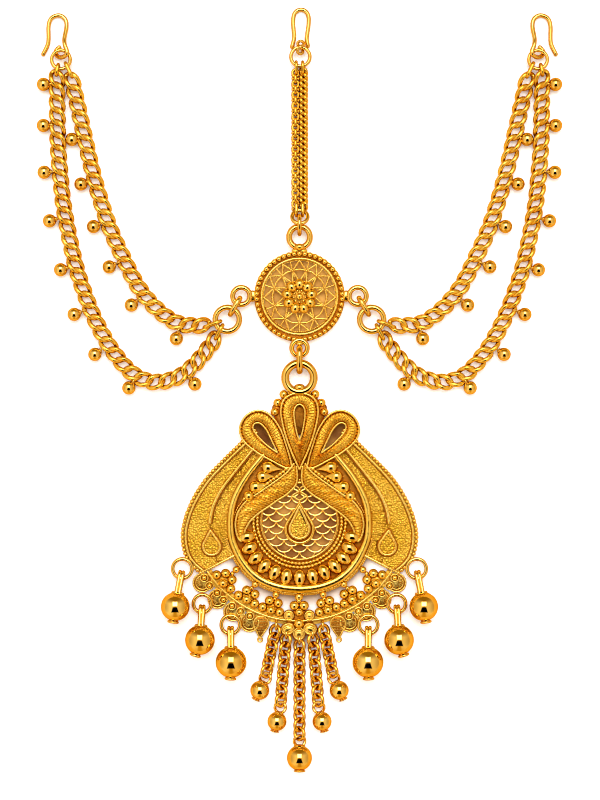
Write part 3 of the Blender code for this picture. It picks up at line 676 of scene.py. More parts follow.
    def loft(self, loops: Sequence[Array], closed: bool = False,
             finishes: Sequence["Finish"] | None = None) -> None:
        """A skin over closed loops of equal counts.

        Args:
            loops: The loops in order.
            closed: Whether the last loop joins back to the first, instead of caps.
            finishes: A finish for each band between two loops, if they differ.
        """
        count = len(loops[0])
        points = np.vstack(loops)
        faces = grid(len(loops), count, closed, True).tolist()
        if not closed:
            faces.append(list(range(count)))
            faces.append(list(range(len(points) - count, len(points))))
        self.add(points, faces)
        if finishes:
            bands = [finish for finish in finishes for _ in range(count)]
            self.finishes[-len(bands):] = bands

    def plate(self, outline: Points, low: float, high: float, round_off: float = 0.25) -> None:
        """Lay a plate with its upper edge rounded off.

        Args:
            outline: Its outline, anticlockwise.
            low: The height of its underside.
            high: The height of its top.
            round_off: The radius of its upper edge.
        """
        outline = np.asarray(outline, dtype=float)
        loops = [lifted(outline, low), lifted(outline, high - round_off)]
        for angle in self.EDGE_ANGLES:
            inward = round_off * (1 - math.cos(math.radians(angle)))
            rise = round_off * math.sin(math.radians(angle))
            loops.append(lifted(offset(outline, inward, closed=True), high - round_off + rise))
        self.loft(loops)

    def disc(self, centre: Numbers, radius: float, count: int, low: float, high: float,
             round_off: float = 0.25) -> None:
        """A round plate; see plate for its heights."""
        self.plate(ring_path((*centre, 0.0), radius, count)[:, :2], low, high, round_off)

    def flat_wire(self, line: Points, height: float, wire: float | Array, sides: int = 12,
                  closed: bool = False) -> None:
        """A wire on a flat line at one height."""
        self.wire(lifted(line, height), wire, sides, closed)

    def panel(self, first: Array, second: Array, low: float, across: int, relief: Relief) -> None:
        """A plate between two lines, with a worked top.

        Args:
            first: One edge.
            second: The other edge, with as many points.
            low: The height of its underside.
            across: How many strips it has between its edges.
            relief: The height of the top, from the flat points, the distance along the
                panel and the share of the way across.
        """
        share = np.linspace(0.0, 1.0, across + 1)
        plan = first[:, None] * (1 - share)[:, None] + second[:, None] * share[:, None]
        along = lengths_along((first + second) / 2)[:, None] * np.ones(across + 1)
        top = relief(plan, along, share * np.ones((len(first), 1)))
        rows, columns = top.shape
        upper = np.concatenate([plan, top[..., None]], axis=-1).reshape(-1, 3)
        edge = [*range(columns - 1), *range(columns - 1, rows * columns - 1, columns),
                *range(rows * columns - 1, (rows - 1) * columns, -1),
                *range((rows - 1) * columns, 0, -columns)]
        lower = upper[edge].copy()
        lower[:, 2] = low
        faces = grid(rows, columns, False, False).tolist()
        base = len(upper)
        for step, index in enumerate(edge):
            other = (step + 1) % len(edge)
            faces.append([index, edge[other], base + other, base + step])
        faces.append([base + step for step in range(len(edge))])
        self.add(np.vstack([upper, lower]), faces)

    def repeat_mirrored(self) -> None:
        """Repeat everything gathered so far on the other side of the middle line."""
        points = np.vstack(self.points) * np.array([-1.0, 1.0, 1.0])
        faces, finishes = [face[::-1] for face in self.faces], list(self.finishes)
        self.add(points, faces)
        self.finishes[-len(finishes):] = finishes

    def make(self, name: str, slot: str, node: str) -> None:
        """Turn what was gathered into a piece that rides on the jewel.

        Args:
            name: The piece's name.
            slot: Not used.
            node: The CAD node that it stands for.
        """
        mesh = bpy.data.meshes.new(name)
        mesh.from_pydata((np.vstack(self.points) * MM).tolist(), [], self.faces)
        used = sorted(set(self.finishes), key=lambda finish: finish.name)
        for finish in used:
            mesh.materials.append(finish.value.material())
        order = {finish: index for index, finish in enumerate(used)}
        mesh.polygons.foreach_set("material_index", [order[finish] for finish in self.finishes])
        shape = bmesh.new()
        shape.from_mesh(mesh)
        bmesh.ops.recalc_face_normals(shape, faces=shape.faces)
        shape.to_mesh(mesh)
        shape.free()
        mesh.shade_smooth()
        mesh.set_sharp_from_angle(angle=SHARP_EDGE)
        piece = bpy.data.objects.new(name, mesh)
        bpy.context.scene.collection.objects.link(piece)
        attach(piece, "root")
        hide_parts(node)
        LOG.info("%s: %d faces", name, len(self.faces))


# Hooks, rings and links


@dataclass
class Hook:
    """A bent wire hook; where it is tied to its ring, a finer wrap does that."""

    node: str
    route: Points
    wrap: Points = ()
    wire: float = 1.2
    wrap_wire: float = 0.86
    beside_route: Triple = (0.31, 0.17, 0.93)
    beside_wrap: Triple = (0.93, 0.31, 0.17)

    def build(self, side: Side = Side.LEFT) -> None:
        """Build the hook.

        Args:
            side: Its side.
        """
        metal = Metalwork(Finish.POLISHED)
        metal.wire(smooth(side.place(self.route), 0.35), self.wire, 14, up=self.beside_route)
        if self.wrap:
            metal.wire(smooth(side.place(self.wrap), 0.25, closed=True), self.wrap_wire, 12,
                       closed=True, up=self.beside_wrap)
        metal.make(self.node + "_wire", "polished_gold", self.node)


SIDE_HOOK_ROUTE = [
    (-71.9, 94.2, 0.6), (-70.5, 97.4, 0.6), (-70.4, 102.0, 0.6), (-69.6, 104.3, 0.6),
    (-67.5, 105.1, 0.7), (-65.8, 104.1, 0.8), (-65.3, 102.0, 1.2), (-65.8, 98.4, 2.4),
    (-65.6, 96.4, 3.1), (-65.0, 94.8, 3.4), (-65.2, 93.7, 3.3), (-66.6, 93.1, 2.1),
    (-68.1, 93.8, 1.0), (-68.3, 95.1, 0.8), (-67.4, 96.1, 0.8),
]
CENTRE_HOOK_ROUTE = [
    (-2.1, 96.3, 0.6), (-1.5, 99.1, 0.6), (-1.8, 103.0, 0.6), (-1.5, 105.4, 0.6), (-0.6, 106.4, 0.6),
    (0.5, 106.7, 0.6), (1.6, 106.3, 0.6), (2.4, 105.2, 0.6), (2.6, 103.2, 0.6), (2.15, 99.6, 0.6),
    (2.05, 98.4, 0.6), (2.35, 96.5, 0.6),
]
CENTRE_HOOK_WRAP = [
    (0.3, 97.75, 2.1), (-0.5, 97.2, 1.8), (-0.3, 96.5, 1.3), (0.3, 95.95, 1.0), (0.9, 95.3, 1.2),
    (0.85, 94.5, 1.8), (0.2, 94.1, 2.2), (-0.5, 94.5, 2.6), (-0.4, 95.3, 3.0), (0.25, 95.95, 3.2),
    (1.05, 96.5, 2.6), (1.25, 97.2, 1.6),
]


@dataclass
class RoundRing:
    """A round wire ring that lies flat, or tilted about the line across the jewel."""

    node: str
    centre: Triple
    radius: float
    wire: float
    tilt: float = 0.0
    points: int = 56
    sides: int = 16

    def build(self, side: Side = Side.LEFT) -> None:
        """Build the ring.

        Args:
            side: Its side.
        """
        tilt = math.radians(self.tilt)
        metal = Metalwork(Finish.POLISHED)
        metal.ring(side.place(self.centre), self.radius, self.wire, self.points, self.sides,
                   (0.0, math.sin(tilt), math.cos(tilt)))
        metal.make(self.node + "_wire", "polished_gold", self.node)


@dataclass
class UprightLink:
    """A link that stands on edge and joins two rings."""

    node: str
    start: Triple
    end: Triple
    radius: float
    wire: float

    def build(self, side: Side = Side.LEFT) -> None:
        """Build the link.

        Args:
            side: Its side.
        """
        metal = Metalwork(Finish.POLISHED)
        metal.link(side.place(self.start), side.place(self.end), self.radius, self.wire)
        metal.make(self.node + "_wire", "polished_gold", self.node)


@dataclass
class Connector:
    """The large ring that gathers two chains, and its link to the medallion's side ring."""

    ring: Pair = (-20.2, 19.75)
    ring_radius: float = 3.37
    ring_wire: float = 1.57
    medallion_ring: Pair = (-16.3, 26.3)
    medallion_ring_radius: float = 2.41
    link_radius: float = 1.76
    link_wire: float = 1.4
    height: float = 2.6

    def build(self, side: Side) -> None:
        """Build the ring and the link.

        Args:
            side: Their side.
        """
        RoundRing("connector_ring_" + side.word, (*self.ring, self.height), self.ring_radius,
                  self.ring_wire).build(side)
        inner, outer = np.array(self.medallion_ring), np.array(self.ring)
        toward = unit(outer - inner)
        start = (*(inner + toward * self.medallion_ring_radius), self.height)
        end = (*(outer - toward * self.ring_radius), self.height)
        UprightLink("side_link_" + side.word, start, end, self.link_radius, self.link_wire).build(side)


# Chains


@dataclass
class CurbChain:
    """Twisted oval links, each caught in the next; overlap is how far two ends pass each other."""

    width: float = 4.8
    wire: float = 1.3
    pitch: float = 3.53
    twist: float = 0.66
    tilt: float = 0.22
    overlap: float = 0.68
    shear: float = 0.45
    points: int = 36
    sides: int = 12

    def lay(self, metal: Metalwork, route: Array, height: float, hand: float) -> None:
        """Lay the chain's links along a route.

        Args:
            metal: What gathers the links.
            route: The flat middle line, from the middle of the first link's end wire on.
            height: The height of the links' middle.
            hand: 1 for the left side's twist, -1 for the right side's.
        """
        total = lengths_along(route)[-1]
        count = max(2, round((total - self.overlap) / self.pitch))
        pitch = (total - self.overlap) / count
        half_length = (pitch + self.overlap) / 2
        half_width = (self.width - self.wire) / 2
        angle = math.tau * np.arange(FINE_POINTS) / FINE_POINTS
        cosine, sine = np.cos(angle), np.sin(angle)
        outline = np.column_stack([half_width * cosine,
                                   half_length * sine + hand * self.shear * half_width * cosine,
                                   -hand * self.twist * np.sin(2 * angle) - self.tilt * sine])
        outline = resampled(outline, self.points, closed=True)
        for number in range(count):
            middle, heading = station(route, (number + 0.5) * pitch + self.overlap / 2)
            across = np.array([-heading[1], heading[0]])
            flat = middle + outline[:, :1] * across + outline[:, 1:2] * heading
            path = np.column_stack([flat, outline[:, 2] + height])
            metal.wire(path, self.wire, self.sides, closed=True)


@dataclass
class SideChain:
    """One curb chain of a side with its jump links and its hanging beads.

    A joint is the height of the ring that a jump link hangs in, and the link's radius.
    """

    node: str
    route: Points
    beads: Points
    top: Pair
    low: Pair
    links: CurbChain = field(default_factory=CurbChain)
    height: float = 1.95
    top_joint: Pair = (2.1, 1.05)
    low_joint: Pair = (2.6, 1.35)
    jump_rise: float = 0.2
    jump_wire: float = 1.05
    bead_size: float = 3.75
    neck_radius: float = 0.62
    neck_wire: float = 0.5
    neck_gap: float = 0.3
    collar: tuple[Pair, ...] = ((0.0, 0.7), (0.35, 0.72), (0.6, 0.5), (0.75, 0.1))
    collar_sink: float = 0.35

    def jump(self, metal: Metalwork, side: Side, ring: Pair, chain: Pair, joint: Pair) -> None:
        """Join a ring's wire to the chain's end link with an upright link.

        Args:
            metal: What gathers the links.
            side: The side on which the chain lies.
            ring: The flat place of the ring's wire.
            chain: The flat place of the chain's end.
            joint: The ring's height and the link's radius.
        """
        start = side.place([*ring, joint[0]])
        end = side.place([*chain, self.height + self.jump_rise])
        metal.link(start, end, joint[1], self.jump_wire)

    def build(self, side: Side) -> None:
        """Build the chain.

        Args:
            side: Its side.
        """
        node = f"{self.node}_{side.word}"
        metal = Metalwork(Finish.CHAIN)
        route = smooth(side.place(self.route), 0.5)
        self.links.lay(metal, route, self.height, side.value)
        self.jump(metal, side, self.top, self.route[0], self.top_joint)
        self.jump(metal, side, self.low, self.route[-1], self.low_joint)
        metal.make(node + "_links", "chain_gold", node)
        drops = Metalwork(Finish.POLISHED)
        radius = self.bead_size / 2
        for place in side.place(self.beads):
            nearest = route[np.argmin(np.linalg.norm(route - place, axis=1))]
            toward = unit(nearest - place)
            drops.bead((*place, radius), self.bead_size, 32, 20)
            eye = place + toward * (radius + self.neck_gap)
            rim = nearest - toward * (self.links.width - self.links.wire) / 2
            drops.link([*eye, radius], [*rim, self.height], self.neck_radius, self.neck_wire)
            drops.lathe([*(place + toward * (radius - self.collar_sink)), radius], [*toward, 0.0],
                        self.collar, 14)
        drops.make(node + "_beads", "polished_gold", node)


OUTER_CHAIN = SideChain(
    "outer_chain",
    route=[(-67.85, 89.2), (-67.9, 84.4), (-67.8, 76.0), (-67.6, 68.0), (-67.0, 60.5),
           (-66.2, 52.6), (-64.8, 44.5), (-62.6, 34.6), (-60.0, 26.6), (-56.8, 18.8),
           (-52.4, 11.1), (-46.9, 4.8), (-41.0, 2.3), (-34.4, 3.5), (-29.2, 7.4), (-23.75, 14.1),
           (-22.9, 15.5)],
    beads=[(-71.7, 85.6), (-71.7, 74.1), (-71.5, 61.0), (-70.0, 47.4), (-66.9, 33.7),
           (-63.1, 21.2), (-57.3, 10.0), (-47.8, 0.6), (-29.3, 1.7)],
    top=(-67.7, 90.06), low=(-22.1, 17.0))
INNER_CHAIN = SideChain(
    "inner_chain",
    route=[(-64.1, 88.6), (-62.1, 79.6), (-60.3, 71.5), (-58.3, 62.6), (-55.9, 53.8),
           (-53.1, 45.4), (-49.7, 37.8), (-45.3, 29.2), (-39.9, 22.7), (-33.6, 18.6),
           (-25.4, 18.0)],
    beads=[(-63.75, 70.2), (-61.2, 57.7), (-57.7, 45.8), (-53.3, 34.5), (-47.1, 23.8),
           (-34.5, 14.4)],
    top=(-65.05, 90.58), low=(-23.3, 18.8))


@dataclass
class CentreChain:
    """The double chain along the parting: box links on the left, curb links on the right."""

    top: float = 90.2
    bottom: float = 50.6
    offset: float = 1.12
    height: float = 1.75
    period: float = 3.14
    box_wire: float = 0.88
    box_width: float = 2.4
    box_stretch: float = 0.55
    last_gap: float = 0.6
    granule: float = 0.95
    granule_shift: float = 0.72
    granule_rise: float = 0.3
    end_shift: float = 0.9
    end_wire: float = 0.9
    end_links: tuple[tuple[Pair, Pair, float], ...] = (
        ((90.64, 2.1), (89.8, 1.9), 1.2), ((50.0, 2.2), (51.3, 1.9), 1.25))

    def box_strand(self, metal: Metalwork) -> None:
        """Lay flat links and upright links by turns, with a granule on each side.

        Args:
            metal: What gathers them.
        """
        count = round((self.top - self.bottom) / self.period)
        pitch = (self.top - self.bottom) / count
        radius = (self.box_width - self.box_wire) / 2
        for number in range(count):
            y = self.top - (number + 0.5) * pitch
            for normal, middle in ((UP, y), ((1.0, 0.0, 0.0), y - pitch / 2)):
                if middle < self.bottom + self.last_gap:
                    continue
                metal.ring((-self.offset, middle, self.height), radius, self.box_wire, 24, 8,
                           normal, (0.0, 1.0, 0.0), self.box_stretch)
            for edge in (-1.0, 1.0):
                place = (edge * self.granule_shift - self.offset, y - pitch / 2,
                         self.height + self.granule_rise)
                metal.bead(place, self.granule, 10, 7)

    def build(self) -> None:
        """Build both strands and the links at their ends."""
        metal = Metalwork(Finish.CHAIN)
        self.box_strand(metal)
        strand = CurbChain(width=2.6, wire=0.98, pitch=self.period / 2, twist=0.5, tilt=0.1,
                           overlap=0.55, shear=0.6, points=20, sides=8)
        route = np.array([(self.offset, self.top), (self.offset, self.bottom)])
        strand.lay(metal, route, self.height, 1.0)
        for x in (-self.end_shift, self.end_shift):
            for start, end, radius in self.end_links:
                metal.link((x, *start), (x, *end), radius, self.end_wire)
        metal.make("centre_chain_links", "chain_gold", "centre_chain")


# Medallion


@dataclass
class Medallion:
    """The round openwork disc with its bead flower and its soldered rings.

    Its wall and its channel are pairs of a radius and a height.
    """

    centre: Pair = (0.0, 26.2)
    wall: tuple[Pair, ...] = (
        (12.6, 0.0), (12.7, 0.9), (12.6, 1.7), (12.3, 1.75), (11.3, 1.7), (10.0, 1.7), (10.0, 0.0))
    channel: tuple[Pair, ...] = ((10.9, 1.5), (10.9, 1.8), (12.5, 1.86), (12.5, 1.5))
    rim_height: float = 2.25
    rim_wire: float = 0.66
    rim_wire_radius: float = 10.6
    granule_radius: float = 12.0
    granule_size: float = 1.45
    granules: int = 50
    net_height: float = 1.75
    net_wire: float = 0.62
    net_inner: float = 4.2
    net_middle: float = 7.45
    net_outer: float = 10.1
    net_spoke: float = 5.4
    net_thin: float = 0.8
    net_bow: float = 0.15
    net_granule: float = 0.95
    half_nodes: tuple[float, ...] = (-90.0, -57.0, -21.0, 18.0, 50.0, 75.0)
    flower_beads: int = 9
    flower_radius: float = 3.45
    flower_bead: float = 2.75
    flower_centre: float = 2.0
    rings: tuple[tuple[Triple, float, float, int], ...] = (
        ((0.0, 42.8, 2.6), 2.92, 1.65, 56), ((0.0, 11.75, 2.9), 2.2, 1.36, 48),
        ((-16.3, 26.3, 2.5), 2.41, 1.45, 48), ((16.3, 26.3, 2.5), 2.41, 1.45, 48))
    collars: tuple[tuple[Triple, Triple], ...] = (
        ((0.0, 38.9, 1.9), (4.4, 2.6, 1.1)), ((-13.2, 26.3, 1.9), (2.8, 3.2, 1.1)),
        ((13.2, 26.3, 1.9), (2.8, 3.2, 1.1)))

    def circle(self, radius: float, height: float, count: int = 160) -> Array:
        """A circle about the middle of the disc."""
        return ring_path((*self.centre, height), radius, count)

    def at(self, radius: float, degrees: float) -> Array:
        """A flat point of the disc."""
        angle = math.radians(degrees)
        return np.array(self.centre) + radius * np.array([math.cos(angle), math.sin(angle)])

    def rim(self, metal: Metalwork) -> None:
        """Build the rim: a wall, a channel dark with painted shade, a smooth wire and a row of granules.

        Args:
            metal: What gathers it.
        """
        for finish, profile in ((Finish.SATIN, self.wall), (Finish.RECESS, self.channel)):
            metal.finish = finish
            metal.loft([self.circle(radius, height, 120) for radius, height in profile], closed=True)
        metal.finish = Finish.WIRE
        metal.wire(self.circle(self.rim_wire_radius, self.rim_height), self.rim_wire, 12, closed=True)
        metal.finish = Finish.GRAIN
        for number in range(self.granules):
            place = self.at(self.granule_radius, 360.0 * (number + 0.5) / self.granules)
            metal.bead((*place, self.rim_height), self.granule_size, 16, 10)

    def strand(self, metal: Metalwork, line: Points, wire: float) -> None:
        """One wire of the net."""
        metal.wire(smooth(lifted(line, self.net_height), 0.4), wire, 8)

    def net(self, metal: Metalwork) -> None:
        """Build the star of wires between the flower and the rim.

        Args:
            metal: What gathers it.
        """
        metal.finish = Finish.NET
        thin = self.net_wire * self.net_thin
        nodes = [*self.half_nodes, *(180.0 - degrees for degrees in self.half_nodes[:0:-1])]
        for here, after in zip(nodes, [*nodes[1:], nodes[0] + 360.0]):
            node, other = self.at(self.net_middle, here), self.at(self.net_middle, after)
            between = (here + after) / 2
            for end in (node, other):
                self.strand(metal, [end, self.at(self.net_inner, between)], self.net_wire)
                self.strand(metal, [end, self.at(self.net_outer, between)], self.net_wire)
            bow = self.at(self.net_middle + self.net_bow, between)
            self.strand(metal, [node, bow, other], self.net_wire)
            self.strand(metal, [node, self.at(self.net_outer, here)], thin)
            self.strand(metal, [self.at(self.net_spoke, here), node], thin)
            metal.bead((*node, self.net_height + 0.15), self.net_granule, 10, 6)
        metal.wire(self.circle(self.net_inner, self.net_height - 0.1, 80), self.net_wire, 8, closed=True)
        metal.beaded(lifted(arc(self.centre, 9.9, 195.0, 345.0, 120), self.net_height + 0.1), 0.55)

    def flower(self, metal: Metalwork) -> None:
        """Build the flower of beads round a centre bead, on a small plate.

        Args:
            metal: What gathers it.
        """
        metal.of(Finish.FIELD).disc(self.centre, 3.4, 48, 1.0, 1.5)
        metal.finish = Finish.GRAIN
        step = 360.0 / self.flower_beads
        for number in range(self.flower_beads):
            degrees = 90.0 + step * number
            metal.bead((*self.at(self.flower_radius, degrees), 2.5), self.flower_bead, 20, 14,
                       (1.0, 1.12, 1.0), math.radians(degrees - 90.0))
            metal.bead((*self.at(1.65, degrees + step / 2), 2.1), 0.85, 10, 7)
            metal.bead((*self.at(4.3, degrees + step / 2), 1.9), 0.75, 8, 6)
        metal.bead((*self.centre, 2.7), self.flower_centre, 20, 14)

    def soldered_rings(self, metal: Metalwork) -> None:
        """Build the soldered rings with their collars.

        Args:
            metal: What gathers it.
        """
        metal.finish = Finish.POLISHED
        for place, radius, wire, points in self.rings:
            metal.ring(place, radius, wire, points, 16)
        metal.of(Finish.GRAIN).bead((0.0, 40.0, 3.2), 3.0, 20, 12, (1.0, 0.62, 0.8))
        metal.bead((0.0, 12.95, 3.0), 2.1, 18, 12, (1.0, 0.6, 0.8))
        for x in (-1.45, 1.45):
            metal.bead((x, 13.3, 2.7), 1.0)
        metal.finish = Finish.SATIN
        for place, shape in self.collars:
            metal.bead(place, 1.0, 24, 16, shape)

    def build(self) -> None:
        """Build the medallion."""
        metal = Metalwork()
        for stage in (self.rim, self.net, self.flower, self.soldered_rings):
            stage(metal)
        metal.make("medallion_openwork", "satin_gold", "medallion")


# Plaque


@dataclass
class Petal:
    """A raised petal with a window, wired edges and a stippled band between them; painted shade darkens the
    window's walls.

    Its profile gives heights at shares of the way from its outer edge to its window.
    """

    outline: Points
    window: Points
    lift: float = 0.0
    foot: float = 0.3
    count: int = 360
    ribs: int = 48
    rib_slant: float = 6.0
    rib_height: float = 0.12
    ribbed: Pair = (0.14, 0.85)
    edge_rise: float = 0.3
    edge_wire: float = 0.55
    window_wire: float = 0.5
    profile: tuple[Pair, ...] = (
        (0.0, 3.2), (0.03, 3.3), (0.11, 3.05), (0.15, 3.3), (0.2, 3.5), (0.27, 3.58), (0.34, 3.62),
        (0.41, 3.64), (0.48, 3.65), (0.55, 3.65), (0.62, 3.64), (0.69, 3.62), (0.76, 3.58), (0.82, 3.5),
        (0.86, 3.3), (0.92, 3.2), (1.0, 3.2))

    def build(self, metal: Metalwork) -> None:
        """Loft the petal from its outer edge to its window, and wire both edges.

        Args:
            metal: What gathers it.
        """
        outer = resampled(smooth(self.outline, 0.2)[:-1], self.count, closed=True)
        inner = resampled(smooth(self.window, 0.1)[:-1], self.count, closed=True)
        turn = math.tau * self.ribs * np.arange(self.count) / self.count
        first, last = self.ribbed
        loops = [lifted(outer, self.foot)]
        for share, height in self.profile:
            loop = lifted(outer * (1 - share) + inner * share, height + self.lift)
            if first < share < last:
                wave = self.rib_height * np.sin(turn + self.rib_slant * share)
                loop[:, 2] += wave + 0.02 * grain(loop[:, :2], 0.5)
            loops.append(loop)
        loops.append(lifted(inner, self.foot))
        bands = [Finish.RIBBED] * len(self.profile)
        # The window's wall and underside bands are dark gold: painted shade.
        metal.loft(loops, closed=True, finishes=[*bands, Finish.RECESS, Finish.RECESS])
        metal.finish = Finish.WIRE
        height = self.profile[0][1] + self.lift + self.edge_rise
        for edge, wire in ((outer, self.edge_wire), (inner, self.window_wire)):
            metal.flat_wire(edge, height, wire, 10, closed=True)


@dataclass
class Wing:
    """A broad matte wing with a beaded border, and a rib that ends in a teardrop."""

    border: Points
    rib: Points
    arm: Points
    thickness: float = 1.75
    field_gap: float = 1.25
    border_width: float = 1.4
    border_height: float = 1.5
    border_bead: float = 1.2
    bead_pitch: float = 1.14
    dash: float = 0.66
    rib_share: float = 0.7
    rib_wires: Pair = (0.6, 1.05)
    drop: tuple[Pair, Pair, float] = ((-24.95, -39.3), (-24.6, -43.8), 2.35)

    def stipple(self, plan: Array, along: Array, share: Array) -> Array:
        """The heights of the punched outer field."""
        return self.thickness + 0.25 * np.sin(2.2 * share) + 0.015 * grain(plan, 0.5)

    def dashes(self, plan: Array, along: Array, share: Array) -> Array:
        """The heights of the inner field with its rows of dashes."""
        rows = np.sin(math.tau * along / self.dash + 1.6 * grain(plan, 1.3))
        return self.thickness - 0.25 + 0.4 * share + 0.04 * rows + 0.015 * grain(plan, 0.5)

    def build(self, metal: Metalwork) -> None:
        """Build the left wing.

        Args:
            metal: What gathers it.
        """
        border, rib = smooth(self.border, 0.3), smooth(self.rib, 0.3)
        edge = resampled(offset(border, self.field_gap), 220)
        metal.of(Finish.MATTE).panel(edge, resampled(rib, 220), 0.0, 38, self.stipple)
        metal.panel(resampled(rib, 300), resampled(smooth(self.arm, 0.3), 300), 0.0, 22, self.dashes)
        metal.finish = Finish.WIRE
        inside = offset(border, self.border_width)
        metal.panel(resampled(border, 80), resampled(inside, 80), 0.0, 2, level(self.border_height))
        ridge = rib[:round(len(rib) * self.rib_share)]
        # Dark lines beside the rib and inside the field's edge: painted shadow.
        metal.of(Finish.RECESS).flat_wire(offset(ridge, 0.58), 2.0, 0.5, 10)
        metal.flat_wire(offset(edge, 0.45), 1.75, 0.4, 10)
        metal.of(Finish.WIRE).flat_wire(edge, 2.25, 0.66)
        metal.flat_wire(ridge, 2.6, np.linspace(*self.rib_wires, len(ridge)))
        metal.flat_wire([self.border[-1], self.arm[-1]], 1.95, 0.8)
        metal.finish = Finish.GRAIN
        count = round(lengths_along(border)[-1] / self.bead_pitch)
        metal.beads(resampled(offset(border, 0.35), count), 1.85, self.border_bead, 12, 8)
        drop = teardrop(*self.drop, 72)
        # A dark outline round the teardrop: painted shadow.
        metal.of(Finish.RECESS).flat_wire(offset(drop, -0.35, closed=True), 1.95, 0.7, 10, closed=True)
        metal.of(Finish.MATTE).plate(drop, 1.0, 2.3, 0.2)
        metal.of(Finish.WIRE).flat_wire(drop, 2.5, 0.66, closed=True)


@dataclass
class Leaf:
    """An S-shaped leaf with ribs across it and wires along its edges.

    A rope is its distance from the upper edge, the edge's points beside it, height and size.
    """

    upper: Points
    lower: Points
    rib_pitch: float = 0.78
    edge_height: float = 3.15
    edge_wire: float = 0.56
    ropes: tuple[tuple[float, int, int, float, float], ...] = (
        (-0.85, 14, 125, 3.0, 1.15), (-0.7, 60, 190, 1.7, 0.7))

    def ribs(self, plan: Array, along: Array, share: Array) -> Array:
        """The heights of the crowned and ribbed top."""
        wave = np.sin(math.tau * along / self.rib_pitch + 1.2 * share)
        return 2.75 + 0.55 * np.sin(math.pi * share) + 0.12 * wave + 0.02 * grain(plan, 0.4)

    def build(self, metal: Metalwork) -> None:
        """Build the left leaf and the beaded ropes along its upper edge.

        Args:
            metal: What gathers it.
        """
        upper, lower = (resampled(smooth(edge, 0.3), 210) for edge in (self.upper, self.lower))
        metal.of(Finish.RIBBED).panel(upper, lower, 0.5, 12, self.ribs)
        metal.finish = Finish.WIRE
        for edge in (upper, lower):
            metal.flat_wire(edge, self.edge_height, self.edge_wire)
        metal.finish = Finish.GRAIN
        for away, first, last, height, size in self.ropes:
            metal.beaded(lifted(offset(upper, away)[first:last], height), size)


